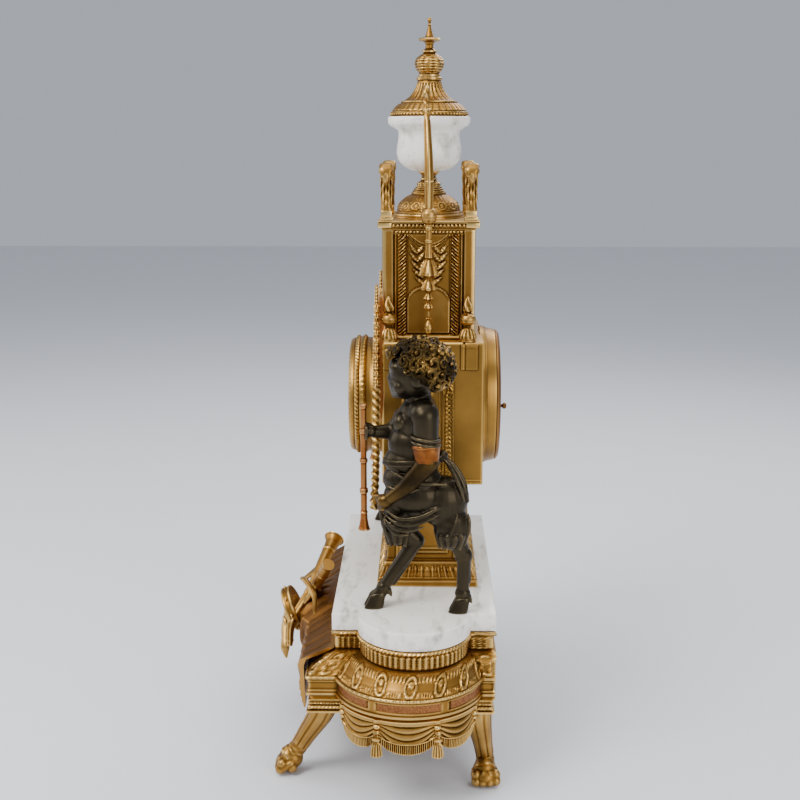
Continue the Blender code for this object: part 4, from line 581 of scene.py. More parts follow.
viewSet = {
    "place": (1.0154, 0.0278, 0.4972),
    "towards": (-0.97745, -0.01797, -0.21038),
    "lens": 56.25,
    "floorSize": 9.0,
    "floorColour": "E6E8EC",
    "worldColour": "C9CED8",
    "worldStrength": 0.75,
}


def placeCamera():
    data = bpy.data.cameras.new("camera")
    data.lens = viewSet["lens"]
    data.sensor_width = 36.0
    data.clip_start = 0.01
    cam = bpy.data.objects.new("camera", data)
    bpy.context.scene.collection.objects.link(cam)
    cam.location = viewSet["place"]
    cam.rotation_euler = Vector(viewSet["towards"]).to_track_quat("-Z", "Y").to_euler()
    bpy.context.scene.camera = cam


def softLight(name, place, aim, size, watts, colour=(1, 1, 1)):
    data = bpy.data.lights.new(name, "AREA")
    data.shape = "RECTANGLE"
    data.size, data.size_y = size
    data.energy = watts
    data.color = colour
    lamp = bpy.data.objects.new(name, data)
    bpy.context.scene.collection.objects.link(lamp)
    lamp.location = place
    lamp.rotation_euler = (Vector(aim) - Vector(place)).to_track_quat("-Z", "Y").to_euler()


placeCamera()
softLight("keyLight", (0.9, -0.9, 1.5), (0, 0, 0.28), (0.8, 0.8), 26)
softLight("fillLight", (1.3, 1.0, 0.7), (0, 0, 0.28), (1.0, 1.0), 12)
softLight("topLight", (0.1, 0.1, 1.8), (0, 0, 0.3), (1.4, 1.4), 14)
softLight("backLight", (-1.0, 0.6, 1.2), (0, 0, 0.3), (1.0, 0.6), 9)
softLight("frontLight", (-0.3, -1.5, 0.8), (0, 0, 0.3), (1.0, 1.0), 9)
world = bpy.data.worlds.new("studio")
bpy.context.scene.world = world
world.use_nodes = True
sky = world.node_tree.nodes["Background"]
sky.inputs["Color"].default_value = hexColour(viewSet["worldColour"])
sky.inputs["Strength"].default_value = viewSet["worldStrength"]

bpy.ops.mesh.primitive_plane_add(size=viewSet["floorSize"], location=(0, 0, 0))
floor = bpy.context.active_object
floor.name = "floor"
applyAll(floor)
floorMaterial, _, floorShader, _ = newMaterial("matPaleFloor")
floorShader.inputs["Base Color"].default_value = hexColour(viewSet["floorColour"])
floorShader.inputs["Roughness"].default_value = 0.7
floor.data.materials.append(floorMaterial)
print("materials made")

# the base's casting, with its frieze and its egg-and-fan moulding

baseSet = {
    "reedPitch": 4.4, "reedFoot": 111.0, "reedTop": 121.6,
    "leafPitch": 22.5, "ovoloFoot": 95.6, "ovoloTop": 108.8,
    "panelPitch": 56.0, "panelHalf": 24.0, "panelSunk": 1.1,
}


def baseRelief(u, z, part):
    h = ropeBand(u, z, plinthTop - 1.9, 1.5, 3.2)
    pitch, low, high = baseSet["reedPitch"], baseSet["reedFoot"], baseSet["reedTop"]
    h = np.maximum(h, reeds(u, z, low, high, pitch, 1.5))
    strings = bump(np.abs(wrapTo(u + pitch / 2, pitch)), 0.8) * (0.55 + 0.45 * np.cos(2 * np.pi * z / 1.9))
    h = np.maximum(h, 1.2 * strings * (z > low + 0.2) * (z < high - 0.2))
    leafPitch = baseSet["leafPitch"]
    q, rise = np.abs(wrapTo(u, leafPitch)), z - 102.0
    ring = np.hypot(q / 3.9, rise / 5.6)
    egg = np.maximum(bump(np.abs(ring - 1) * 4.2, 1.0), 0.9 * bump(np.hypot(q, rise - 1.6) - 1.0, 1.3))
    ribs = 0.5 + 0.5 * np.cos(2 * np.pi * (q - leafPitch / 2) / (2.5 + 0.09 * rise))
    fan = 0.8 * ribs * bump(np.abs(rise) - 4.4, 2.0) * (q > 5.0)
    ovolo = 1.1 * np.where((z > baseSet["ovoloFoot"]) & (z < baseSet["ovoloTop"]), np.maximum(egg, fan), 0)
    h = np.maximum(h, ovolo)
    h = np.maximum(h, beads(u, z, 94.2, 0.9, 2.4))
    between = (part != 1) | (np.abs(wrapTo(u, baseSet["panelPitch"])) < baseSet["panelHalf"] + 0.5)
    h = h - np.where(between & (z > 84.5) & (z < 91.0), baseSet["panelSunk"], 0)
    return np.where(part == 4, 0.0, h)  # the back is plain


baseProfile = resample([(-3.6, 126.0), (-1.4, 125.9), (-0.6, 124.2), (-1.6, 122.4), (-3.2, 122.2),
                        (-3.2, 110.2), (-1.2, 109.6), (0.4, 109.0), (3.2, 107.0), (6.2, 104.2),
                        (9.2, 101.0), (12.0, 97.6), (13.8, 95.6), (15.0, 95.2), (15.0, 93.2), (14.0, 92.6),
                        (14.0, 82.6), (15.0, 82.0), (15.0, 80.6), (13.4, 79.4), (12.6, 77.6), (12.4, 76.2)],
                       0.75)
baseInner = [(9.4, 76.2), (11.0, 92.0), (-3.0, 106.0), (-6.4, 122.9), (-6.4, 126.0)]
base = sweepCasting("baseCasting", planOutline, baseProfile, baseRelief, baseInner, backShift)
finishPiece(base, gilt, "clock", ["plinth_casting"])


def levelPlate(name, spread, counts, top, foot):
    pts = np.array([[x, y + backShift] for x, y in planOutline(spread, counts)[0]])
    grid = np.stack([np.column_stack([pts, np.full(len(pts), z)]) for z in (top, foot)], axis=1)
    return gridPiece(name, grid, closeU=True, capLow=True, capHigh=True)


deck = levelPlate("baseDeck", -6.2, (2, 30, 2, 2), 125.9, 123.0)
finishPiece(deck, giltDark, "clock")

# the corner blocks and the long walls go lower than the lobes
blockSet = {"front": -81.5, "back": 61.0, "spread": 15.0}
blockMid = (blockSet["front"] + blockSet["back"]) / 2
blockHalfX = outlineSet["halfWidth"] + blockSet["spread"]
blockHalfY = (blockSet["back"] - blockSet["front"]) / 2


def blockRelief(u, z, part):
    h = np.maximum(ropeBand(u, z, 69.6, 1.2, 2.8), beads(u, z, 73.2, 0.9, 2.4))
    return np.where(part == 3, 0, h)


blockOutline = boxOutline(blockHalfX - blockSet["spread"], blockHalfY - blockSet["spread"], 0.8, blockMid)
blockProfile = resample([(13.6, 76.4), (13.2, 75.0), (13.2, 72.2), (12.4, 71.6), (13.4, 70.8), (13.4, 68.0),
                         (15.0, 67.4), (15.0, 66.1)], 0.6)
blocks = sweepCasting("baseCornerBlocks", blockOutline, blockProfile, blockRelief,
                      [(11.8, 66.1), (11.0, 76.4)], backShift)
finishPiece(blocks, gilt, "clock")

# reddish panels let into the band
panelPieces = []
pts, along, part = planOutline(13.1)
for side in (1, -1):
    chosen = (part == 1) & (np.sign(pts[:, 0]) == side)
    lobePts, lobeAlong = pts[chosen], along[chosen]
    for step in (-1, 0, 1):
        strip = lobePts[np.abs(lobeAlong - step * baseSet["panelPitch"]) < baseSet["panelHalf"]]
        grid = np.stack([np.column_stack([strip[:, 0], strip[:, 1] + backShift, np.full(len(strip), z)])
                         for z in (90.6, 87.7, 84.9)], axis=1)
        panel = gridPiece("panelStrip", grid)
        addModifier(panel, "SOLIDIFY", thickness=0.0003, offset=0.0)
        panelPieces.append(panel)
panels = joinAll(panelPieces, "bandPanels")
finishPiece(panels, stipple, "clock")
print("base done")

# the marble slab

slabSet = {"edge": 1.4}
slab = levelPlate("marbleSlab", 0.0, (3, 60, 3, 4), slabTop, slabFoot)
addModifier(slab, "BEVEL", width=slabSet["edge"] * mm, segments=3,
            limit_method="ANGLE", angle_limit=math.radians(60))
finishPiece(slab, marble, "clock", ["marble_top"])
print("slab done")


# the pedestal under the case

def boxSize(low, high):
    return ((high.x - low.x) / 2 / mm, (high.y - low.y) / 2 / mm, low.z / mm, high.z / mm)


pedX, pedY, pedZ0, pedZ1 = boxSize(pedLow, pedHigh)


def pedestalRelief(u, z, part):
    side = part % 2 == 0
    h = acanthusRow(u, z, pedZ0 + 5.5, pedZ0 + 12.5, 5.2, 1.0)
    h = np.maximum(h, ridge(z, pedZ0 + 14.4, 1.0, 0.8))
    body = z > pedZ0 + 17
    frameH = frameLine(u, z, np.where(side, 20.0, 30.0), pedZ0 + 22, pedZ1 - 12, 1.0, 1.1)
    inner = frameLine(u, z, np.where(side, 16.5, 26.5), pedZ0 + 25.5, pedZ1 - 15.5, 0.7, 0.6)
    pil = bump(np.abs(np.abs(u) - np.where(side, 28.5, 41.0)), 3.2) * 1.6
    h = np.where(body, np.maximum(np.maximum(frameH, inner), pil), h)
    top = beads(u, z, pedZ1 - 4.5, 1.1, 2.8)
    return np.maximum(h, top)


pedProfile = resample(
    fromLevel(pedZ1, [(-19.5, -0.1), (-19.5, -3.0), (-22.0, -6.0), (-21.0, -20.0)])
    + fromLevel(pedZ0, [(-17.5, 17.0), (-15.5, 15.6), (-12.5, 13.0), (-9.0, 9.5), (-4.0, 6.0),
                        (-1.0, 5.0), (0.0, 4.5), (0.0, 0.0)]), 0.8)


def taperOutline(outlineX, outlineY):
    # the pedestal narrows more across its width than its depth
    plain = boxOutline(outlineX, outlineY, 0.9)

    def outline(spread):
        pts, along, part = plain(0.0)
        scaleX = (outlineX + spread * 1.12) / outlineX
        scaleY = (outlineY + spread * 0.42) / outlineY
        return pts * np.array([scaleX, scaleY]), along, part

    return outline


pedestal = sweepCasting("pedestal", taperOutline(pedX, pedY), pedProfile, pedestalRelief, (), axisY)
finishPiece(pedestal, gilt, "clock", ["pedestal_casting"])
print("pedestal done")

# helpers that turn, sweep and join lumps

def turnedAboutY(name, profile, centre, steps=160, relief=None, loop=False, step=0.7):
    # a turned ring about the drum's axis: profile is (radius, distance along Y)
    prof = np.array(resample(list(profile) + ([profile[0]] if loop else []), step))
    if loop:
        prof = prof[:-1]
    theta = np.linspace(0, 2 * np.pi, steps, endpoint=False)
    radius = prof[:, 0][None, :] + np.zeros((steps, 1))
    if relief is not None:
        radius = radius + relief(theta[:, None], prof[:, 1][None, :], prof[:, 0][None, :])
    radius = np.maximum(radius, 0)
    grid = np.stack([centre[0] + radius * np.cos(theta)[:, None],
                     centre[1] + prof[:, 1][None, :] + np.zeros((steps, 1)),
                     centre[2] + radius * np.sin(theta)[:, None]], axis=-1)
    return gridPiece(name, grid, closeU=True, closeV=loop,
                     capLow=not loop and prof[0, 0] > 0.01, capHigh=not loop and prof[-1, 0] > 0.01)


def reliefPlate(name, side, x, yRange, zRange, relief, step=0.7, backing=0.8):
    # a cast plate on a wall that faces +X or -X: relief(u, z) is its height, u from the axis line to the rear
    ys = np.linspace(*yRange, max(2, round((yRange[1] - yRange[0]) / step)))
    zs = np.linspace(*zRange, max(2, round((zRange[1] - zRange[0]) / step)))
    yy, zz = np.meshgrid(ys, zs, indexing="ij")
    height = relief(yy - axisY, zz)
    grid = np.stack([side * (x + height), yy, zz], axis=-1)
    rim = grid.copy()
    rim[..., 0] = side * (x - backing)
    framed = np.concatenate([rim[:1], grid, rim[-1:]], axis=0)
    left, right = framed[:, :1].copy(), framed[:, -1:].copy()
    left[..., 0] = right[..., 0] = side * (x - backing)
    framed = np.concatenate([left, framed, right], axis=1)
    return closedSkin(gridPiece(name, framed), fill=True)


def tubeAlong(name, points, radii, sides=16, relief=None, flatten=1.0):
    # a round bar along a path in millimetres; relief(theta, s) adds to its radius, s is the way along it
    pts = np.array([tuple(p) for p in points], float)
    tangent = np.gradient(pts, axis=0)
    tangent /= np.linalg.norm(tangent, axis=1, keepdims=True)
    run = np.concatenate([[0], np.cumsum(np.linalg.norm(np.diff(pts, axis=0), axis=1))])
    up = np.array([0.0, 0.0, 1.0]) if abs(tangent[0, 2]) < 0.9 else np.array([1.0, 0.0, 0.0])
    side = np.cross(tangent[0], up)
    side /= np.linalg.norm(side)
    theta = np.linspace(0, 2 * np.pi, sides, endpoint=False)
    rows = []
    for k, (p, t) in enumerate(zip(pts, tangent)):
        side = side - t * side.dot(t)
        side /= np.linalg.norm(side)
        other = np.cross(t, side)
        r = radii[k] if relief is None else radii[k] + relief(theta, run[k])
        r = np.broadcast_to(r, theta.shape)
        rows.append(p + side[None] * (r * np.cos(theta))[:, None]
                    + other[None] * (flatten * r * np.sin(theta))[:, None])
    return gridPiece(name, np.stack(rows, axis=1), closeU=True, capLow=True, capHigh=True)


def spreadValues(values, count):
    return np.interp(np.linspace(0, 1, count), np.linspace(0, 1, len(values)), values)


def roundPath(points, perSpan=8):
    return [tuple(p) for p in catmull(points, perSpan)]


def ballAt(place, radii, turn=(0, 0, 0), segments=24, rings=16):
    deselectAll()
    bpy.ops.mesh.primitive_uv_sphere_add(segments=segments, ring_count=rings, radius=1,
                                         location=[c * mm for c in place], rotation=turn,
                                         scale=[r * mm for r in radii])
    obj = bpy.context.active_object
    applyAll(obj)
    return obj


def rodBetween(start, end, radius, endRadius=None, segments=20):
    # a bar with rounded ends
    endRadius = radius if endRadius is None else endRadius
    a, b = Vector(start), Vector(end)
    steps = 6
    pts, radii = [], []
    direction = (b - a).normalized()
    for k in range(steps):
        angle = math.pi / 2 * (1 - k / steps)
        pts.append(a - direction * radius * math.sin(angle))
        radii.append(max(radius * math.cos(angle), 0.02))
    pts += [a, b]
    radii += [radius, endRadius]
    for k in range(1, steps + 1):
        angle = math.pi / 2 * k / steps
        pts.append(b + direction * endRadius * math.sin(angle))
        radii.append(max(endRadius * math.cos(angle), 0.02))
    return tubeAlong("bar", pts, radii, segments)


def blockAt(low, high, bevel=0.6, segments=2):
    deselectAll()
    size = [(b - a) * mm for a, b in zip(low, high)]
    centre = [(a + b) / 2 * mm for a, b in zip(low, high)]
    bpy.ops.mesh.primitive_cube_add(size=1, location=centre, scale=size)
    obj = bpy.context.active_object
    applyAll(obj)
    if bevel:
        addModifier(obj, "BEVEL", width=bevel * mm, segments=segments, limit_method="ANGLE")
    return obj


def boreAlongY(obj, radius, depth, place, vertices):
    # cuts a round hole whose axis runs front to back
    deselectAll()
    bpy.ops.mesh.primitive_cylinder_add(vertices=vertices, radius=radius * mm, depth=depth * mm,
                                        location=[c * mm for c in place], rotation=(math.pi / 2, 0, 0))
    borer = bpy.context.active_object
    applyAll(borer)
    addModifier(obj, "BOOLEAN", operation="DIFFERENCE", object=borer, solver="EXACT")
    bpy.data.objects.remove(borer, do_unlink=True)


def meltTogether(parts, name, voxel=1.0, smoothing=4, factor=0.5):
    # joins overlapping lumps into one skin, as wax is worked before casting
    obj = joinAll(parts, name)
    addModifier(obj, "REMESH", mode="VOXEL", voxel_size=voxel * mm)
    if smoothing:
        addModifier(obj, "SMOOTH", iterations=smoothing, factor=factor)
    return obj


# the square case round the drum

caseX = caseHigh.x / mm
caseZ0, caseZ1 = caseLow.z / mm, caseHigh.z / mm
caseFrontY = caseLow.y / mm
wallLow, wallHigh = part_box("case_back")
caseSplitY = wallLow.y / mm
ringBackY = wallHigh.y / mm
caseBackY = ringBackY - 11.0


caseSet = {"bandAt": 15.9, "plate": 0.5, "leafStep": 17, "joint": 28.2, "boreRadius": 48.3}


def caseSideRelief(u, z):
    x = np.abs(u) - caseSet["bandAt"]
    h = caseSet["plate"] + 0 * u
    wave = np.sin(2 * np.pi * z / 7.0)
    band = (np.abs(x) < 3.2) & (z > caseZ0 + 6) & (z < caseZ1 - 38)
    scroll = np.maximum(bump(np.abs(x - 1.7 * wave), 0.9), bump(np.abs(x + 1.7 * wave), 0.9))
    eye = bump(np.hypot(x, wrapTo(z - 1.75, 3.5)), 0.8)
    h = h + np.where(band, 0.9 * np.maximum(scroll, eye), 0)
    beading = bump(np.abs(np.abs(u) - 12.4), 0.6) + bump(np.abs(np.abs(u) - 19.4), 0.6)
    h = h + 0.8 * beading * (z < caseZ1 - 30) * (z > caseZ0 + 5)
    capital = (np.abs(x) < 4.4) & (z > caseZ1 - 40) & (z < caseZ1 - 30)
    h = h + np.where(capital, 1.5 * (0.5 + 0.5 * np.cos(x * 2.6 + wrapTo(z, 3.0))) * bump(np.abs(x), 4.6), 0)
    h = h - 0.5 * np.exp(-((u - caseSet["joint"]) / 0.35) ** 2)  # where the back meets the front
    shoulder = (np.abs(np.abs(u) - 31.7) < 6.8) & (z > caseZ1 - 21)
    h = h + np.where(shoulder, 1.5 + 0.5 * (z > caseZ1 - 3.5), 0)
    panel = (np.abs(u) < 11) & (z > caseZ0 + 8)
    h = h + np.where(panel, frameLine(u, z, 9.6, caseZ0 + 12, caseZ1 - 8, 0.7, 0.8), 0)
    for k in range(5):
        root = caseZ0 + 20 + caseSet["leafStep"] * k
        for turn, length in ((60, 9.5), (90, 13), (120, 9.5)):
            h = np.maximum(h, caseSet["plate"] + leaf(u, z, 0, root, math.radians(turn), length, 2.2, 1.2))
    foot = z < caseZ0 + 4
    return np.where(foot, 1.3 + ropeBand(u, z, caseZ0 + 2.0, 1.0, 2.6) * 0.6, h)


for side, label in ((1, "Right"), (-1, "Left")):
    plate = reliefPlate("caseSide" + label, side, caseX, (caseFrontY + 1.2, caseBackY - 1.0),
                        (caseZ0 + 1.0, caseZ1 - 1.0), caseSideRelief)
    finishPiece(plate, giltPlain, "clock", angle=35)

backPlate = blockAt((-caseX, caseSplitY, caseZ0), (caseX, caseBackY, caseZ1), 1.2, 3)
bore = caseSet["boreRadius"]
boreAlongY(backPlate, bore, 60, (0, (caseSplitY + caseBackY) / 2, dialZ), 128)
ringProfile = (
    fromLevel(caseBackY, [(57.0, -1.5), (57.0, 1.6), (56.4, 2.2), (56.4, 3.0), (55.6, 3.4)])
    + fromLevel(ringBackY, [(54.2, -1.6), (53.9, -0.4), (53.2, 0.0), (bore, 0.0)])
    + [(bore, caseBackY - 1.5)])
rearRing = turnedAboutY("rearRing", ringProfile, (0, 0, dialZ), 180, loop=True, step=1.4)


def coverPin(low, high):
    # a stretch of the rear cover's hinge, heights counted from the dial's centre
    return rodBetween((-55.1, ringBackY + 1.8, dialZ + low), (-55.1, ringBackY + 1.8, dialZ + high), 1.5)


coverHinge = [coverPin(z - 2, z + 2) for z in (-7, 7)]
caseBack = joinAll([backPlate, rearRing, *coverHinge], "caseBack")
finishPiece(caseBack, giltPlain, "clock", ["case_back"])
print("case done")

# the tower and its cornice

towerX, towerY, towerZ0, towerZ1 = boxSize(towerLow, towerHigh)
towerSet = {
    "inset": 2.4, "edge": 6.6, "edgeRise": 2.2, "rope": 3.1, "ropeAt": 13.6, "ropePitch": 2.7, "panel": 16.2,
}


def towerRelief(u, z, part):
    s = towerSet
    side = part % 2 == 0
    half = np.where(side, towerY, towerX) - s["inset"]
    edge = half - np.abs(u)
    mid = (z > towerZ0 + 3.4) & (z < towerZ1 - 3.6)
    atEdge = edge < s["edge"]
    h = np.where(atEdge, s["edgeRise"], 0.0)
    h = np.maximum(h, 0.9 * bump(np.abs(edge - 8.6), 0.7))
    ropeAt = edge - s["ropeAt"]
    strands = 0.62 + 0.38 * np.cos(2 * np.pi * (z - 0.9 * ropeAt) / s["ropePitch"])
    h = np.where(np.abs(ropeAt) < s["rope"], (0.5 + 1.9 * bump(np.abs(ropeAt), s["rope"])) * strands, h)
    h = np.maximum(h, 0.9 * bump(np.abs(edge - 17.2), 0.5))
    inner = np.abs(u) < s["panel"]
    arch = towerZ0 + 30 + 11.0 * np.sqrt(np.clip(1 - (u / s["panel"]) ** 2, 0, 1))
    plain = inner & (z < arch) & (z > towerZ0 + 5)
    h = np.where(plain, 1.3, h)
    h = np.where(inner & (np.abs(z - arch) < 1.0), 1.9, h)
    grown = 0 * u
    for sign in (-1, 1):
        for k in range(5):
            t = k / 4
            x0 = sign * (2.0 + 7.0 * math.sin(t * 1.5))
            z0 = towerZ0 + 42.0 + 25 * t
            for swing in (0.55, -0.75):
                angle = math.pi / 2 - sign * (0.35 + swing) + sign * 0.25 * t
                grown = np.maximum(grown, leaf(u, z, x0, z0, angle, 11.0 - 2.5 * t, 1.7, 1.5))
    h = np.where(inner & ~plain & (z > arch + 1), np.maximum(h, grown), h)
    swagTop = towerZ1 - 4.5 - 9 * (1 - (u / s["panel"]) ** 2)
    h = np.where(inner & (z > swagTop), 1.2 + 0.5 * np.cos((z - swagTop) * 2.0) * (z < swagTop + 3), h)
    foot = ridge(z, towerZ0 + 1.4, 1.4, 2.3) + 0 * u
    top = beads(u, z, towerZ1 - 1.2, 1.2, 2.8) + 0.8
    h = np.where(mid, h, 0)
    h = np.where(z <= towerZ0 + 3.4, np.maximum(foot, np.where(atEdge, s["edgeRise"], 0.8)), h)
    h = np.where(z >= towerZ1 - 3.6, np.where(atEdge, s["edgeRise"], top), h)
    return np.where(part == 3, np.where(atEdge, s["edgeRise"], 0.0), h)


towerOutline = boxOutline(towerX - towerSet["inset"], towerY - towerSet["inset"], 0.62)
towerProfile = [(0.0, z) for z in np.linspace(towerZ1, towerZ0, round((towerZ1 - towerZ0) / 0.62))]
tower = sweepCasting("tower", towerOutline, towerProfile, towerRelief, (), axisY)
finishPiece(tower, gilt, "clock", ["tower_casting"])

corX, corY, corZ0, corZ1 = boxSize(corniceLow, corniceHigh)


def corniceRelief(u, z, part):
    return beads(u, z, corZ1 - 3.4, 1.15, 3.0)


corniceProfile = resample(fromLevel(corZ1, [(-0.4, 0.0), (0.0, -0.4), (0.0, -1.7), (-1.5, -2.0),
                                            (-1.5, -4.8), (-2.2, -5.0), (-3.0, -6.2)]) + [(-3.0, corZ0)],
                          0.5)
cornice = sweepCasting("cornice", boxOutline(corX, corY, 0.7), corniceProfile, corniceRelief, (), axisY)
corners = []
for sx in (-1, 1):
    for sy in (-1, 1):
        x, y = sx * (corX - 6.0), axisY + sy * (corY - 5.4)
        corners.append(blockAt((x - 6.0, y - 5.4, corZ1 - 5.4), (x + 6.0, y + 5.4, corZ1 - 0.05), 1.0))
cornice = joinAll([cornice, *corners], "cornice")
finishPiece(cornice, gilt, "clock", ["cornice_plate"])
print("tower done")

# the four scrolls on the cornice's corners

# the path runs out from atX and up from the scroll's foot
scrollSet = {
    "atX": 41.0, "veins": 5,
    "path": [(0.5, 5), (-1, 15.4), (-2.6, 27), (-1.4, 36.5), (2.4, 40.6), (6.2, 38.4), (7.4, 34.0),
             (5.6, 31.6)],
    "width": [4.3, 4.5, 4.9, 5.1, 5.4, 5.2, 4.2, 1.6],
    "thick": [3.2, 2.7, 2.6, 2.9, 3.1, 2.9, 2.4, 1.3],
}


def cornerScroll(name, node):
    xMid, yMid, foot = middleOf(node)
    x = scrollSet["atX"]
    path = roundPath([(x + out, 0, foot + rise) for out, rise in scrollSet["path"]], 7)
    count = len(path)
    width = spreadValues(scrollSet["width"], count)
    thick = spreadValues(scrollSet["thick"], count)
    run = np.arange(count) / count
    theta = np.linspace(0, 2 * np.pi, 56, endpoint=False)
    rows = []
    for k in range(count):
        ahead = Vector(path[min(k + 1, count - 1)]) - Vector(path[max(k - 1, 0)])
        out = Vector((ahead.z, 0, -ahead.x)).normalized()
        c, s = np.cos(theta), np.sin(theta)
        py = np.sign(c) * np.abs(c) ** 0.72 * width[k] * (1 + 0.05 * math.sin(run[k] * 46))
        pn = np.sign(s) * np.abs(s) ** 0.72 * thick[k]
        vein = 0.45 * np.cos(py * scrollSet["veins"] * 0.55 + math.sin(run[k] * 9))
        vein = vein + 0.35 * np.cos(run[k] * 60 + np.abs(py) * 1.3)
        pn = pn + np.where(s > 0.1, vein * min(1, run[k] * 5), 0)
        rows.append(np.stack([path[k][0] + out.x * pn, yMid + py, path[k][2] + out.z * pn], axis=1))
    bar = gridPiece(name, np.stack(rows, axis=1), closeU=True, capLow=True, capHigh=True)
    tread = blockAt((x - 5, yMid - 5.2, foot), (x + 5, yMid + 5.2, foot + 2.4), 0.6)
    riser = blockAt((x - 3.9, yMid - 4.3, foot + 2.2), (x + 4.1, yMid + 4.3, foot + 7.5), 0.8)
    lobes = [ballAt((x + 5.4, yMid + d, foot + 37.6), (3.2, 2.9, 3.8)) for d in (-2.9, 2.9)]
    tongue = ballAt((x + 7.8, yMid, foot + 33.6), (2.4, 2.6, 5.2))
    whole = joinAll([bar, tread, riser, *lobes, tongue], name)
    if xMid < 0:
        flipped = mirrored(whole, name)
        bpy.data.objects.remove(whole, do_unlink=True)
        flipped.name = name
        whole = flipped
    finishPiece(whole, gilt, "clock", [node])


cornerNames = [(end.title() + hand.title(), end + "_" + hand)
               for end in ("front", "rear") for hand in ("right", "left")]
for label, node in cornerNames:
    cornerScroll("cornerScroll" + label, "corner_scroll_" + node)

# the four small urns on the case's shoulders


def shoulderRelief(theta, z, r):
    flame = 0.7 * np.cos(4 * theta + z * 0.55) * (z > 20.5)
    reed = 0.45 * np.cos(12 * theta) * ((z < 9.5) & (z > 2.2))
    return (flame + reed) * np.minimum(1, r / 3)


def shoulderUrn(name, node):
    profile = [(0.0, 35.0), (1.4, 33.2), (2.9, 29.4), (3.7, 26.4), (3.3, 23.8), (1.9, 22.4), (2.8, 21.6),
               (5.4, 19.8), (6.3, 17.4), (6.0, 15.2), (4.4, 13.2), (2.5, 12.0), (2.4, 10.8), (3.5, 9.8),
               (5.2, 7.2), (6.4, 4.4), (6.6, 2.4), (6.4, 1.2), (6.4, 0.0)]
    urn = turnedRelief(name, profile, middleOf(node), 56, shoulderRelief, step=0.8)
    finishPiece(urn, gilt, "clock", [node], 50)


for label, node in cornerNames:
    shoulderUrn("shoulderUrn" + label, "shoulder_urn_" + node)
print("scrolls and shoulder urns done")

# the dome, then the urn's foot, bowl, lid and finial

domeSet = {"leafRadius": 24.0, "leaves": 14}


def domeRelief(theta, z, r):
    around = domeSet["leafRadius"]
    leafy = ovalScrolls(theta * around, z, 6.0, 13.5, 2 * math.pi * around / domeSet["leaves"], 0.5)
    small = 0.22 * np.cos(theta * 36) * ((z > 14.4) & (z < 17.4))
    return leafy + small


domeCurve = [(25.4 * math.cos(a), 4.8 + 15.6 * math.sin(a)) for a in np.linspace(math.radians(56), 0.02, 16)]
domeSteps = [(9.4, 24.0), (10.6, 23.8), (10.6, 22.8), (11.8, 22.4), (11.8, 21.2), (12.8, 20.8), (12.8, 19.9),
             (13.6, 19.6), (13.8, 18.4)]
domeFoot = [(26.0, 4.4), (26.4, 3.4), (27.6, 3.0), (28.0, 2.2), (28.0, 0.0)]
dome = turnedRelief("dome", domeSteps + domeCurve + domeFoot, (0, axisY, footOf("dome_cap")), 200,
                    domeRelief, step=0.6)
finishPiece(dome, gilt, "clock", ["dome_cap"])

urnFoot = turnedRelief("urnFoot", [(8.7, 12.0), (8.2, 10.6), (6.6, 9.4), (5.6, 8.0), (5.5, 6.8), (6.6, 6.4),
                                   (6.6, 5.2), (5.9, 4.8), (7.4, 3.6), (9.2, 2.6), (9.2, 0.0)],
                       (0, axisY, footOf("urn_foot")), 64,
                       lambda t, z, r: 0.25 * np.cos(t * 16) * (z < 4.6), step=0.6)
finishPiece(urnFoot, gilt, "clock", ["urn_foot"])

bowlCurve = [(26.6, 32.4), (25.0, 31.2), (24.2, 28.0), (24.6, 23.6), (25.5, 18.0), (25.6, 13.4),
             (24.6, 9.0), (22.0, 5.0), (18.0, 2.0), (13.4, 0.1)]
bowlSmooth = [(p[0], p[2]) for p in catmull([(r, 0, z) for r, z in bowlCurve], 5)]
bowlLip = [(28.0, 42.0), (31.9, 42.0), (32.7, 41.0), (32.7, 38.4), (32.2, 36.4), (30.6, 34.6), (28.4, 33.4)]
bowl = turnedRelief("urnBowl", bowlLip + bowlSmooth, (0, axisY, footOf("urn_bowl")), 128, step=1.0)
finishPiece(bowl, marble, "clock", ["urn_bowl"])

lidSet = {"beads": 64, "beadRadius": 31.0, "leaves": 16, "flutes": 12}


def lidRelief(theta, z, r):
    around = lidSet["beadRadius"]
    bead = beads(theta * around, z, 1.6, 1.0, 2 * math.pi * around / lidSet["beads"])
    row = (z > 4.2) & (z < 9.4)
    leaves = 0.7 * np.abs(np.cos(theta * lidSet["leaves"])) ** 0.6 * row - 0.35 * row
    hollow = np.abs(np.cos(theta * lidSet["flutes"])) ** 3 * ((z > 12.0) & (z < 25.6))
    flutes = -0.9 * hollow * np.minimum(1, r / 12)
    return bead * (z < 3) + leaves + flutes


lid = turnedRelief("urnLid", [(9.2, 30.0), (10.2, 29.4), (10.2, 28.0), (9.2, 27.2), (9.6, 25.6),
                              (10.8, 22.0), (12.8, 18.4), (16.0, 14.6), (20.0, 12.0), (22.2, 11.4),
                              (22.4, 10.0), (23.6, 9.6), (26.0, 7.8), (28.6, 5.0), (29.2, 3.6), (30.4, 3.2),
                              (30.4, 0.6), (31.2, 0.0)], (0, axisY, footOf("urn_lid")), 256, lidRelief,
                   step=0.55)
finishPiece(lid, gilt, "clock", ["urn_lid"])


def finialRelief(theta, z, r):
    bulb = (z > 2.0) & (z < 15.5)
    lobes = 0.9 * np.abs(np.cos(theta * 4 + 0.4)) * bulb * np.minimum(1, r / 9)
    ripple = 0.35 * np.cos(z * 3.0) * bulb
    return lobes - 0.5 * bulb + ripple * np.abs(np.sin(theta * 4 + 0.4))


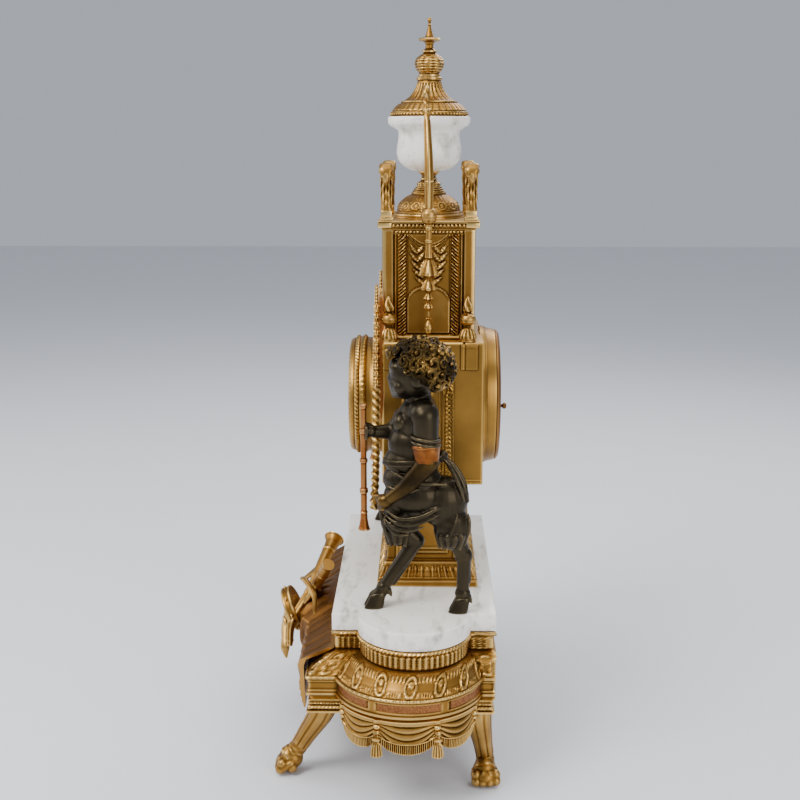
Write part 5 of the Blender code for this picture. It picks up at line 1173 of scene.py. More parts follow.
finial = turnedRelief("urnFinial", [(0.0, 45.0), (1.2, 44.4), (1.8, 42.9), (1.2, 41.5), (0.8, 40.6),
                                    (1.6, 39.6), (1.0, 38.4), (1.9, 35.0), (3.0, 31.4), (3.6, 30.0),
                                    (8.0, 29.2), (8.8, 28.2), (8.0, 27.2), (4.2, 26.4), (2.9, 24.2),
                                    (3.2, 21.4), (5.6, 19.6), (5.6, 18.6), (4.6, 17.8), (7.4, 16.4),
                                    (10.4, 13.4), (11.3, 10.0), (10.4, 6.2), (8.2, 3.2), (7.6, 2.0),
                                    (8.8, 1.4), (8.8, 0.0)], (0, axisY, footOf("urn_finial")), 96,
                      finialRelief, step=0.5)
finishPiece(finial, gilt, "clock", ["urn_finial"], 50)
print("urn done")

# the drum, the bezel with its glass, the dial, the hands and the rear cover

dialCentre = (0, 0, dialZ)
bezelLow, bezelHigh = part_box("bezel")
drumLow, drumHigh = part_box("movement_ring")
drumFront, drumBack = drumLow.y / mm, drumHigh.y / mm
bezelFront, bezelBack = bezelLow.y / mm, bezelHigh.y / mm
drumR = bezelHigh.x / mm
opening = drumR - 7.0
hingeX = bezelLow.x / mm + 1.6


def drumRelief(theta, y, r):
    outside = r > drumR - 0.6
    bead = bump(np.abs(y - (drumFront + 3.0)), 1.5) * (0.55 + 0.45 * np.cos(theta * 72))
    return np.where(outside, 1.2 * bead, 0)


drumProfile = fromLevel(drumFront, [
    (drumR - 2.2, 0.0), (drumR, 0.0), (drumR + 0.2, 1.4), (drumR + 0.4, 3.0), (drumR + 0.2, 4.6),
    (drumR - 0.8, 5.4), (drumR - 0.8, 9.0), (drumR, 10.0)]) + [(drumR, drumBack), (drumR - 2.2, drumBack)]
drum = turnedAboutY("drum", drumProfile, dialCentre, 288, drumRelief, loop=True, step=1.2)
lugs = [drum]


def bezelPin(low, high):
    # a stretch of the bezel's hinge, heights counted from the dial's centre
    return rodBetween((hingeX, bezelBack - 1.3, dialZ + low), (hingeX, bezelBack - 1.3, dialZ + high), 1.6)


for z in (-7, 7):
    lugs.append(bezelPin(z - 1.9, z + 1.9))
    lugs.append(blockAt((hingeX - 0.9, bezelBack - 1.2, dialZ + z - 1.9),
                        (-drumR + 1.5, bezelBack + 3.4, dialZ + z + 1.9), 0.4))
finishPiece(joinAll(lugs, "drum"), giltPlain, "clock", ["movement_ring"])


def bezelRelief(theta, y, r):
    strands = 0.5 + 0.5 * np.cos(theta * 90 + (y - bezelBack) * 1.6)
    rope = bump(np.abs(y - (bezelBack - 5.6)), 1.6) * strands * (r > drumR - 1.6)
    face = (r > opening + 1.6) & (r < drumR - 2.2) & (y < bezelBack - 7)
    leaves = 0.7 * np.abs(np.cos(theta * 36 + (r - 44) * 0.5)) * face
    return rope * 1.1 + leaves * 0.7


bezelProfile = fromLevel(bezelFront, [
    (opening, 0.4), (opening + 1.0, 0.0), (opening + 1.7, 0.7), (opening + 3.0, 0.5), (opening + 5.0, 1.8),
    (drumR - 1.4, 3.4), (drumR - 1.2, 4.6), (drumR - 0.2, 5.4), (drumR, 7.8),
]) + fromLevel(bezelBack, [
    (drumR - 0.6, -2.4), (drumR, -1.4), (drumR, 0.0), (opening + 1.5, 0.0),
]) + fromLevel(bezelFront, [(opening + 1.5, 5.0), (opening, 5.0)])
bezel = turnedAboutY("bezel", bezelProfile, dialCentre, 360, bezelRelief, loop=True, step=0.8)
knuckle = bezelPin(-3.2, 3.2)
arm = blockAt((hingeX, bezelBack - 2.6, dialZ - 4.6), (-drumR + 2.2, bezelBack - 0.3, dialZ + 4.6), 0.4)
finishPiece(joinAll([bezel, knuckle, arm], "bezel"), gilt, "bezel", ["bezel"])

glassLow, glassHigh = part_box("dial_glass")
glassR = glassHigh.x / mm
glassFront, glassBack = glassLow.y / mm, glassHigh.y / mm
glassSet = {"thick": 1.2, "bow": 1.2}  # millimetres, and the half angle of the dome in radians
glassRise = glassBack - glassFront - glassSet["thick"]
domed = [(glassR * math.sin(a), glassFront + glassRise * (1 - math.cos(a)) / (1 - math.cos(glassSet["bow"])))
         for a in np.linspace(0, glassSet["bow"], 18)]
widen = glassR / domed[-1][0]
domed = [(r * widen, y) for r, y in domed]
glassProfile = domed + [(r, y + glassSet["thick"]) for r, y in reversed(domed)]
pane = turnedAboutY("dialGlass", glassProfile, dialCentre, 128, step=1.6)
finishPiece(pane, glass, "bezel", ["dial_glass"], 60)

dialR = dialHigh.x / mm
dialFront, dialBack = dialLow.y / mm, dialHigh.y / mm
dialSet = {"numeralSize": 9.6, "numeralRadius": 33.2, "trackRadius": 39.4, "windingX": 15.543,
           "windingZ": -7.248}
dialProfile = fromLevel(dialFront, [(3.2, 0.0), (12, -0.35), (24, -0.45), (36, -0.2), (41.5, 0.0),
                                    (dialR, 0.2)])
dialDisc = turnedAboutY("dial", dialProfile + [(dialR, dialBack), (3.2, dialBack)], dialCentre, 144,
                        loop=True, step=1.5)
for sx in (-1, 1):
    boreAlongY(dialDisc, 2.9, 20, (sx * dialSet["windingX"], dialFront, dialZ + dialSet["windingZ"]), 40)
finishPiece(dialDisc, enamel, "clock", ["dial_plate"])

marks = []
for hour, text in enumerate(("XII", "I", "II", "III", "IV", "V", "VI", "VII", "VIII", "IX", "X", "XI")):
    deselectAll()
    bpy.ops.object.text_add(location=(0, 0, 0))
    numeral = bpy.context.active_object
    numeral.data.body = text
    numeral.data.size = dialSet["numeralSize"] * mm
    numeral.data.extrude = 0.12 * mm
    numeral.data.align_x = "CENTER"
    numeral.data.align_y = "CENTER"
    bpy.ops.object.convert(target="MESH")
    numeral = bpy.context.active_object
    turn = Matrix.Rotation(math.radians(30 * hour), 4, "Y")
    stand = shiftBy(0, dialFront - 0.42, dialSet["numeralRadius"]) @ Matrix.Rotation(math.pi / 2, 4, "X")
    numeral.data.transform(shiftBy(0, 0, dialZ) @ turn @ stand @ numeral.matrix_world)
    numeral.matrix_world = Matrix.Identity(4)
    addModifier(numeral, "WELD", merge_threshold=1e-6)
    marks.append(numeral)
for minute in range(60):
    wide = 0.55 if minute % 5 == 0 else 0.24
    tick = blockAt((-wide, dialFront - 0.28, dialSet["trackRadius"] - 0.9),
                   (wide, dialFront + 0.3, dialSet["trackRadius"] + 0.9), 0)
    tick.data.transform(shiftBy(0, 0, dialZ) @ Matrix.Rotation(math.radians(6 * minute), 4, "Y"))
    marks.append(tick)
for radius in (38.3, 40.5):
    inside, outside = radius - 0.15, radius + 0.15
    track = fromLevel(dialFront, [(inside, -0.26), (outside, -0.26), (outside, 0.1), (inside, 0.1)])
    marks.append(turnedAboutY("track", track, dialCentre, 144, loop=True))
numerals = joinAll(marks, "dialNumerals")
finishPiece(numerals, blackSteel, "clock", angle=30)
rosetteProfile = fromLevel(dialFront, [
    (3.4, -1.0), (5.0, -1.1), (6.4, -0.9), (9.5, -0.6), (13.5, -0.9), (14.4, -0.3), (14.4, 0.1), (3.4, 0.1)])
rosette = turnedAboutY("dialRosette", rosetteProfile, dialCentre, 144,
                       lambda t, y, r: 0.25 * np.cos(t * 18) * (r > 6), loop=True, step=0.5)
rimProfile = fromLevel(dialFront, [(2.7, -0.7), (3.3, -1.0), (4.0, -0.7), (4.0, 0.1), (2.7, 0.1)])
rims = [turnedAboutY("rim", rimProfile, (sx * dialSet["windingX"], 0, dialZ + dialSet["windingZ"]), 48,
                     loop=True, step=0.4) for sx in (-1, 1)]
finishPiece(joinAll([rosette, *rims], "dialRosette"), gilt, "clock")


def shapedHand(name, node, body, turn, length, hub, loopAt, loopR):
    # a black steel hand, made pointing up and then turned to its hour, with an open eye and two curls
    low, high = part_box(node)
    y, thick = (low.y + high.y) / 2 / mm, (high.y - low.y) / 2 / mm
    front, back = y - thick, y + thick
    hubProfile = [(1.35, front), (hub - 0.3, front), (hub, front + 0.2), (hub, back), (1.35, back)]
    eyeProfile = [(loopR - 0.9, front), (loopR, front), (loopR, back), (loopR - 0.9, back)]
    bits = [turnedAboutY("hub", hubProfile, (0, 0, 0), 40, loop=True, step=0.5),
            turnedAboutY("eye", eyeProfile, (0, 0, loopAt), 40, loop=True, step=0.5)]
    for foot, tip, tipWidth in ((hub - 0.5, loopAt - loopR + 0.4, 0.55),
                                (loopAt + loopR - 0.4, length, 0.15)):
        strip = blockAt((-1, y - thick * 0.8, foot), (1, y + thick * 0.8, tip), 0)
        for v in strip.data.vertices:
            v.co.x *= tipWidth if v.co.z > (foot + tip) / 2 * mm else 0.9
        bits.append(strip)
    eyeFoot = loopAt - loopR
    for sx in (-1, 1):
        curl = roundPath([(sx * 0.3, y, eyeFoot - 4.5), (sx * 2.4, y, eyeFoot - 2.6),
                          (sx * 2.6, y, eyeFoot - 0.6), (sx * 1.2, y, eyeFoot + 0.3)])
        bits.append(tubeAlong("curl", curl, [0.3] * len(curl), 8))
    piece = joinAll(bits, name)
    piece.data.transform(shiftBy(0, 0, dialZ) @ Matrix.Rotation(math.radians(turn), 4, "Y"))
    finishPiece(piece, blackSteel, body, [node])


shapedHand("hourHand", "hour_hand", "hour", 305, 22.5, 4.2, 14.5, 2.6)
shapedHand("minuteHand", "minute_hand", "centre", 60, 34.5, 3.0, 25.5, 2.2)

coverBack = ringBackY + 0.3
coverProfile = fromLevel(coverBack, [
    (0.0, 3.6), (10.0, 3.5), (10.6, 3.0), (30.0, 2.9), (31.0, 3.4), (34.0, 3.3), (35.0, 2.4), (46.0, 2.1),
    (48.0, 3.0), (51.0, 2.8), (52.6, 1.9), (53.5, 0.9), (53.5, 0.0), (0.0, 0.0)])
cover = turnedAboutY("rearCover", coverProfile, dialCentre, 160, step=1.4)
knobProfile = [(0.0, 7.7), (1.7, 7.4), (2.5, 6.2), (2.3, 4.9), (1.3, 4.1), (1.2, 2.6), (2.2, 1.6),
               (2.2, 0.6), (0.0, 0.6)]
knob = turnedAboutY("knob", knobProfile, (44.5, coverBack, dialZ), 32, step=0.4)
hingeY = ringBackY + 1.8
leafPlate = blockAt((-55.0, hingeY - 1.0, dialZ - 4.5), (-50.8, hingeY + 1.0, dialZ + 4.5), 0.3)
coverBits = [cover, knob, coverPin(-3.2, 3.2), leafPlate]
finishPiece(joinAll(coverBits, "rearCover"), giltDark, "rear_cover", ["rear_cover"])
print("drum done")

# handles, pendants, garlands and pipes are made for the right and mirrored for the left


def pairOf(obj, name, material, nodes=(), angle=40):
    other = mirrored(obj, name + "Left")
    obj.name = name + "Right"
    for piece, hand in ((obj, "right"), (other, "left")):
        finishPiece(piece, material, "clock", [n + "_" + hand for n in nodes], angle)
    return obj, other


handleX = 53.3
handleCurve = [  # out and forward from the handle's line, and the height
    (0.0, 0.0, 436.5), (4.0, 0.0, 455.5), (3.4, 0.6, 479.5), (-4.4, 1.6, 502.5), (-9.6, 2.4, 518.7),
    (-7.4, 2.5, 527.4), (-1.4, 2.5, 528.2), (0.6, 2.5, 523.4), (-2.4, 2.5, 521.2)]
handlePath = roundPath([(handleX + out, axisY - forward, z) for out, forward, z in handleCurve], 10)
handleRadii = spreadValues([2.6, 3.2, 3.0, 2.4, 2.1, 2.3, 2.2, 1.8, 1.1], len(handlePath))
ballProfile = [(0.0, 14.6), (2.6, 14.2), (2.9, 13.4), (4.6, 12.2), (6.0, 9.8), (6.4, 7.2), (6.0, 4.6),
               (4.6, 2.2), (2.8, 0.9), (2.4, 0.0), (0.0, 0.0)]


def handleRelief(t, s):
    # fluted below, twisted above
    return 0.35 * np.cos(4 * t) * (s < 70) + 0.28 * np.cos(2 * t + s * 1.1) * (s >= 70)


def ballRelief(t, z, r):
    return -0.12 * np.abs(np.cos(t * 5)) ** 6 * ((z > 1.5) & (z < 5))


handleBits = [tubeAlong("handle", handlePath, handleRadii, 28, handleRelief),
              turnedRelief("ball", ballProfile, (handleX, axisY, 426.6), 48, ballRelief, step=0.5)]
for at, size in ((0.16, 3.4), (0.45, 3.2), (0.66, 2.8)):
    p = handlePath[int(at * (len(handlePath) - 1))]
    handleBits.append(ballAt(p, (size, size, 1.3), segments=20, rings=10))
pairOf(joinAll(handleBits, "handle"), "urnHandle", gilt, ["urn_handle"])


def dropRelief(theta, z, r):
    petals = 0.20 * r * np.cos(4 * theta) * ((z < 58) & (z > 12))
    facets = 0.10 * r * np.abs(np.cos(3 * theta)) * (z >= 59)
    return petals + facets


dropProfile = [(0.6, 84), (2.2, 83.6), (2.6, 82), (2.2, 80), (2.2, 74), (2.6, 73), (2.6, 71.5), (2.1, 70.8),
               (2.6, 64), (2.9, 60), (1.6, 58.8), (2.6, 57), (4.6, 53), (6.0, 48.5), (6.2, 46.5), (4.0, 45),
               (2.0, 44.2), (1.8, 43), (3.2, 41), (5.0, 36.5), (4.8, 35), (2.4, 33.4), (1.2, 32.4),
               (2.2, 30.6), (3.3, 28.2), (1.2, 26.2), (1.0, 25), (2.6, 23), (3.1, 21), (1.1, 18.6),
               (0.9, 13.5), (1.9, 12.6), (1.0, 11.4), (1.6, 10.2), (3.0, 7.6), (3.5, 4.8), (2.9, 2),
               (1.2, 0.4), (0.0, 0.0)]
drop = turnedRelief("drop", dropProfile, (handleX, axisY, footOf("bellflower_drop_right")), 48, dropRelief,
                    step=0.5)
pairOf(drop, "bellflowerDrop", gilt, ["bellflower_drop"])

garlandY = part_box("garland_right")[0].y / mm + 4.0
garlandSet = {"ropePitch": 6.0, "leafStep": 6.5, "ropeTop": 302.0}
garlandCurve = [(50.5, 380.9), (50, 362.9), (55, 338.9), (58, 310.9), (64, 282.9), (76, 256.9), (98, 234.3)]
garlandPath = roundPath([(x, garlandY, z) for x, z in garlandCurve]
                        + [(112, garlandY - 0.5, 220.4), (116.5, backShift - 29.0, 226.0)], 44)
garlandRadii = spreadValues([0.9, 1.6, 2.5, 2.8, 2.8, 2.7, 2.6, 2.2], len(garlandPath))
run = np.concatenate([[0], np.cumsum([math.dist(a, b) for a, b in zip(garlandPath, garlandPath[1:])])])
ropeFrom = float(np.interp(-garlandSet["ropeTop"], [-p[2] for p in garlandPath], run))


def garlandRelief(t, s):
    # a twisted rope below, a ribbed stem under the leaves above
    if s > ropeFrom:
        return 0.75 * np.cos(2 * t + 2 * np.pi * s / garlandSet["ropePitch"])
    return 0.3 * np.cos(4 * t) + 0.3 * np.cos(s * 2.4)


def alongGarland(s):
    return [float(np.interp(s, run, [point[i] for point in garlandPath])) for i in range(3)]


garlandBits = [tubeAlong("garland", garlandPath, garlandRadii, 28, garlandRelief, flatten=0.85)]
leafSeed = ballAt((0, 0, 0), (1.5, 0.9, 3.4), segments=10, rings=8)
for k in range(2, int(ropeFrom / garlandSet["leafStep"])):
    s = (k + 0.6) * garlandSet["leafStep"]
    p, ahead = alongGarland(s), alongGarland(s + 3)
    heading = math.atan2(ahead[0] - p[0], ahead[2] - p[2])
    for sign in (-1, 1):
        for face, tilt in ((-1, 0.75), (1, 0.95)):
            place = (shiftBy(p[0], p[1] + 1.9 * face * sign, p[2]) @ Matrix.Rotation(heading, 4, "Y")
                     @ Matrix.Rotation(sign * tilt * face, 4, "X"))
            garlandBits.append(copyOf(leafSeed, "leaf", place @ shiftBy(0, 0, 2.2)))
            place = shiftBy(*p) @ Matrix.Rotation(heading + sign * tilt, 4, "Y")
            garlandBits.append(copyOf(leafSeed, "leaf", place @ shiftBy(sign * 1.6, -0.8 * face, 2.0)))
bpy.data.objects.remove(leafSeed, do_unlink=True)
pairOf(joinAll(garlandBits, "garland"), "garland", gilt, ["garland"])
bladePath = [(p[0], p[1] + 3.6, p[2]) for p in garlandPath[20:190:4]]
blade = tubeAlong("blade", bladePath, spreadValues([1.4, 3.0, 3.4, 3.0, 1.0], len(bladePath)), 20,
                  flatten=0.2)
pairOf(blade, "garlandBack", copperGilt)

pipe = turnedRelief("pipe", [(2.0, 98.0), (2.8, 97.4), (2.8, 95.0), (2.1, 94.0), (2.1, 79.0), (2.9, 78.4),
                             (3.0, 77.0), (2.9, 75.6), (2.3, 75.0), (2.3, 56.0), (3.1, 55.4), (3.1, 53.2),
                             (2.4, 52.4), (2.4, 33.0), (3.2, 32.2), (3.3, 30.6), (3.2, 29.2), (2.4, 28.4),
                             (2.4, 15.0), (3.0, 14.0), (2.6, 12.4), (2.9, 8.0), (3.7, 3.0), (4.6, 0.6),
                             (4.6, 0.0), (3.4, 0.0)], middleOf("held_pipe_right"), 40, step=0.6)
pairOf(pipe, "heldPipe", copperGilt, ["held_pipe"])
print("hangings done")

# the aprons with their swags and tassels

apronSet = {
    "centreX": 122.5, "centreY": backShift - 4.0, "radius": 55.2,
    "edges": (-61.5, -24.0, 22.5, 61.5),  # where the swags are gathered, in degrees round the lobe
    "folds": 4.5, "fringe": 1.5, "wall": 2.2, "rise": 2.2,
}
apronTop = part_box("apron_right")[1].z / mm
edges = apronSet["edges"]


def aroundLobe(radius, angle, z):
    return (apronSet["centreX"] + radius * math.cos(angle), apronSet["centreY"] + radius * math.sin(angle), z)


def swagBottom(degree):
    # the place between two gathers, from -1 to 1, and the height of the swag's lower edge
    for low, high in zip(edges, edges[1:]):
        if low <= degree <= high:
            s = 2 * (degree - low) / (high - low) - 1
            return s, apronTop - 12.5 - 11.5 * (1 - s * s) ** 0.6
    return 1, apronTop - 10.5


outer = []
for degree in np.linspace(edges[0], edges[-1], 300):
    s, bottom = swagBottom(degree)
    angle = math.radians(degree)
    rowOut, rowIn = [], []
    for v in np.linspace(0, 1, 44):
        z = apronTop + (bottom - apronTop) * v + apronSet["rise"] * max(0.0, 1 - 8 * v)
        sag = 1 - s * s
        depth = (apronTop - z) / (9 + 15 * sag)
        fold = 1.5 * abs(math.sin(math.pi * apronSet["folds"] * (depth - 0.10 * sag)))
        fold = fold * min(1, sag * 4 + 0.2) * (0.45 + 0.55 * sag)
        if v > 0.66:
            fold = 0.7 + 0.45 * math.cos(2 * math.pi * angle * apronSet["radius"] / apronSet["fringe"])
        if 0.62 < v <= 0.66:
            fold = 1.6
        if v < 0.07:
            fold = 1.9
        gather = 1.1 * math.exp(-((1 - abs(s)) / 0.10) ** 2) * (v < 0.85)
        r = apronSet["radius"] + fold + gather + 0.8 * math.sin(math.pi * v) * sag
        rowOut.append(aroundLobe(r, angle, z))
        rowIn.append(aroundLobe(apronSet["radius"] - apronSet["wall"], angle, z))
    outer.append(rowOut + rowIn[::-1])
apronBits = [closedSkin(gridPiece("apron", np.array(outer), closeV=True), fill=True)]
tasselProfile = [(0.0, 21.0), (2.4, 20.4), (3.0, 18.8), (2.2, 17.4), (1.4, 16.6), (1.6, 15.0), (3.2, 14.0),
                 (3.4, 12.8), (2.2, 12.0), (2.4, 10.4), (3.0, 9.4), (3.9, 4.0), (4.2, 0.4), (3.6, 0.0),
                 (0.0, 0.0)]
for degree in edges[1:3]:
    angle = math.radians(degree)
    place = aroundLobe(apronSet["radius"] + 1.6, angle, apronTop - 26.4)
    apronBits.append(turnedRelief("tassel", tasselProfile, place, 44,
                                  lambda t, z, r: 0.35 * np.cos(11 * t) * (z < 10), step=0.6))
for degree in edges:
    angle = math.radians(degree * 0.99)
    for drop, size in ((3.4, 2.9), (7.2, 2.1)):
        apronBits.append(ballAt(aroundLobe(apronSet["radius"] + 0.9, angle, apronTop - drop),
                                (size, size, size * 0.75), segments=18, rings=10))
pairOf(joinAll(apronBits, "apron"), "apron", gilt, ["apron"])
print("aprons done")

# the legs with their lion paws

pawSet = {"toes": (-1.5, -0.5, 0.5, 1.5), "toeStep": 5.0, "padHalf": 9.6}


def legRelief(t, s):
    # fluted above, feathered with hair below
    flutes = (0.75 * np.abs(np.cos(4 * t)) ** 0.6 - 0.4) * min(1, s / 8) * (s < 46)
    return flutes + 0.25 * np.cos(s * 1.2) * np.cos(3 * t) * (s >= 46)


def lionFoot(name, top, paw, swing, aim):
    top, paw, swing = Vector(top), Vector(paw), Vector(swing)
    fall = top.z - paw.z
    knee = top - Vector((0, 0, 0.20 * fall)) + swing * 3.2
    shin = top.lerp(paw, 0.55) - swing * 2.4
    ankle = paw + Vector((0, 0, 9)) - swing * 7
    path = roundPath([top + Vector((0, 0, -0.1)), knee, shin, ankle, paw + Vector((0, 0, 2))], 12)
    radii = spreadValues([9.8, 10.2, 9.4, 8.2, 7.2, 6.9, 7.4, 8.2], len(path))
    leg = tubeAlong(name, path, radii, 64, legRelief)
    forward = Vector((aim[0], aim[1], 0)).normalized()
    across = Vector((-forward.y, forward.x, 0))
    lumps = [ballAt(paw + Vector((0, 0, 0.4)) - forward * 2.4, (9.0, 9.0, 8.4)),
             ballAt(paw + forward * 2 + Vector((0, 0, -3.6)), (9.0, 9.0, 6.8))]
    for k in pawSet["toes"]:
        toe = paw + across * k * pawSet["toeStep"] + forward * (6.4 - 1.1 * abs(k))
        lumps.append(ballAt(toe + Vector((0, 0, -1.4)), (3.7, 3.9, 4.0)))
        lumps.append(rodBetween(toe + Vector((0, 0, -1.0)) - forward * 7,
                                toe + Vector((0, 0, -6.0)) + forward * 1.6, 3.0, 3.9))
    for k in (-1, 1):
        lumps.append(ballAt(paw + across * k * 6.5 - forward * 3 + Vector((0, 0, -4.5)), (4.2, 4.2, 4.6)))
    soft = meltTogether(lumps, "pawSkin", 0.7, 2)
    activate(soft)
    bpy.ops.object.mode_set(mode="EDIT")
    bpy.ops.mesh.select_all(action="SELECT")
    bpy.ops.mesh.bisect(plane_co=(0, 0, 0.05 * mm), plane_no=(0, 0, 1), clear_inner=True, use_fill=True)
    bpy.ops.object.mode_set(mode="OBJECT")
    half = pawSet["padHalf"]
    pad = blockAt((top.x - half, top.y - half, top.z - 4), (top.x + half, top.y + half, top.z), 0.8)
    return joinAll([leg, soft, pad], name)


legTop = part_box("foot_front_right")[1].z / mm
frontFoot = lionFoot("footFront", (116, backShift - 69, legTop), (108, backShift - 99.0, 11.6), (0, -1, 0),
                     (0, -1))
pairOf(frontFoot, "footFront", gilt, ["foot_front"])
rearFoot = lionFoot("footRear", (121, backShift + 50, legTop), (124, backShift + 55.4, 11), (1, 0, 0),
                    (1, 0.1))
pairOf(rearFoot, "footRear", gilt, ["foot_rear"])
print("feet done")

# the cast drapery and the trophy on the front

clothLow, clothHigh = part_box("front_drapery")
clothSet = {
    "reach": 124.0,
    "middle": 46,  # half the width of the part that bulges over the frieze
    # from the hem up: height as a share, distance in front of the axis, bulge, share of the middle
    "fall": [(0.0, 84.9, 4.5, 0.58), (0.16, 84.9, 8, 0.82), (0.44, 84.9, 12, 0.96), (0.703, 84.9, 13, 1.0),
             (0.797, 82.9, 14, 0.98), (0.906, 69.5, 20, 0.90), (1.0, 61.0, 15, 0.80)],
}
clothTop, clothFoot = clothHigh.z / mm, clothLow.z / mm
middle = clothSet["middle"]


def downTheFall(v, column):
    return float(np.interp(v, [row[0] for row in clothSet["fall"]],
                           [row[column] for row in clothSet["fall"]]))


rows = []
for v in np.linspace(1, 0, 70):
    back = backShift - downTheFall(v, 1)
    bulge, wide = downTheFall(v, 2), downTheFall(v, 3)
    row = []
    reach = clothSet["reach"] - 12 * (1 - v)
    for a in np.linspace(-1, 1, 260):
        x = reach * a
        inside = min(1.0, abs(x) / (middle * wide))
        if inside < 1:
            crown = math.sqrt(1 - 0.86 * inside * inside)
        else:
            crown = 0.374 - 0.10 * (abs(x) - middle * wide) / reach
        swirl = x / 7.4 + 2.4 * (1 - v) * a * a + 0.8 * math.sin(v * 6)
        fold = 1 + 0.16 * math.cos(swirl * math.pi) + 0.07 * math.cos(swirl * 5.1 + v * 9)
        banded = 0.6 * (math.cos(v * 64) > 0.55) * (v < 0.34) * (v > 0.06)
        scallop = 1.4 * math.cos(x / 3.1) * (1 - v) ** 2
        lift = 9.0 * max(0.0, abs(x) - middle) / (reach - middle) * (1 - v)
        z = clothFoot + (clothTop - clothFoot) * v + scallop * (v < 0.5) + lift
        row.append((x, back - bulge * fold * crown - banded, z))
    rows.append(row + [(reach, back, row[-1][2]), (-reach, back, row[0][2])])
cloth = gridPiece("frontDrapery", np.array(rows).transpose(1, 0, 2), closeU=True, capLow=True, capHigh=True)
finishPiece(cloth, clothBrass, "clock", ["front_drapery"], 50)

faceY = backShift - 62.5
top = slabTop
bits = []
drumAt = Vector((6, faceY - 41.5, top - 43.0))
drumAxis = Vector((0, -7, -3)).normalized()
tambour = turnedAboutY("tambourine", [(0.0, -2.4), (16.6, -2.4), (17.0, -3.4), (18.0, -3.9), (19.2, -3.4),
                                      (19.4, -2.0), (18.9, -1.0), (18.9, 2.0), (19.6, 2.8), (19.2, 3.9),
                                      (17.4, 4.0), (0.0, 3.4)], (0, 0, 0), 96, step=0.8)
bits.append(tambour)
for k in range(8):
    a = k * math.pi / 4
    bits.append(ballAt((19.4 * math.cos(a), 0.4, 19.4 * math.sin(a)), (2.2, 1.0, 2.2), segments=16, rings=8))
lean = Matrix.Translation(drumAt * mm) @ drumAxis.to_track_quat("-Y", "Z").to_matrix().to_4x4()
for bit in bits:  # the tambourine and its jingles lean on the cloth
    bit.data.transform(lean)
horn = roundPath([(-40, faceY - 9.5, top + 4.0), (-34, faceY - 11.5, top + 0.4), (-22, faceY - 16, top - 7),
                  (4, faceY - 27, top - 28), (22, faceY - 41, top - 48), (26, faceY - 43.4, top - 69)], 14)
bits.append(tubeAlong("horn", horn, spreadValues([8.6, 6.2, 5.4, 5.0, 4.4, 3.6, 2.4], len(horn)), 40,
                      lambda t, s: 0.5 * (math.cos(s * 0.42) > 0.93) + 0.25 * np.cos(6 * t) * (s > 40)))
flute = [Vector((36, faceY - 9, top + 7)).lerp(Vector((-26, faceY - 42, top - 66)), k / 90)
         for k in range(91)]
bits.append(tubeAlong("flute", flute, spreadValues([4.6, 4.2, 3.8, 3.5], len(flute)), 32,
                      lambda t, s: 0.6 * (math.cos(s * 0.36) > 0.9)))
for k in range(6):
    a = Vector((-12.5 + 5.0 * k, faceY - 15.5, top - 15.0 + 0.4 * k))
    bits.append(rodBetween(a, a + Vector((k * 0.4, -17 - 0.6 * k, -22 - 1.2 * k)), 2.6, 2.4, 22))
for k in (0.25, 0.55):
    y, z = faceY - 15.5 - 18 * k, top - 16 - 23 * k
    bits.append(blockAt((-15.2, y - 4.2, z - 2.0), (15.4, y + 2.5, z + 1.2), 0.8))
ribbon = roundPath([(-34, faceY - 16, top - 12), (-18, faceY - 24, top - 17), (-2, faceY - 33, top - 20),
                    (14, faceY - 31, top - 14), (30, faceY - 22, top - 22), (38, faceY - 21, top - 36)], 12)
bits.append(tubeAlong("ribbon", ribbon, spreadValues([0.8, 3.2, 2.2, 3.4, 2.4, 1.0], len(ribbon)), 20,
                      lambda t, s: 0.25 * np.cos(8 * t), flatten=0.5))
for k in range(9):
    a = 2 * math.pi * k / 9
    bits.append(ballAt((6 + 11 * math.cos(a), faceY - 46.0 + 3 * math.sin(a), top - 46 + 10 * math.sin(a)),
                       (3.4, 2.0, 5.6), (0.4, a, 0)))
for sx, dip in ((-1, 0), (1, 3)):
    tail = roundPath([(4, faceY - 46, top - 46), (4 + sx * 10, faceY - 48.5, top - 56 - dip),
                      (6 + sx * 16, faceY - 48, top - 70), (8 + sx * 17, faceY - 46.5, top - 84 + dip)], 10)
    bits.append(tubeAlong("tail", tail, spreadValues([1.6, 3.6, 2.6, 3.8, 0.6], len(tail)), 18,
                          lambda t, s: 0.25 * np.cos(7 * t), flatten=0.45))
finishPiece(joinAll(bits, "trophy"), gilt, "clock", ["trophy_casting"])
print("front done")

# the fauns

faunX, faunZ = 115.0, slabTop + 0.3
faunSet = {"voxel": 0.95, "curls": 150, "headZ": 181, "headScale": 1.07}


def atFaun(x, y, z):
    return Vector((faunX + x, backShift + y, faunZ + z))


def lump(place, radii, turn=(0, 0, 0)):
    return ballAt(atFaun(*place), radii, turn)


def limbBar(a, b, r0, r1):
    return rodBetween(atFaun(*a), atFaun(*b), r0, r1, 24)


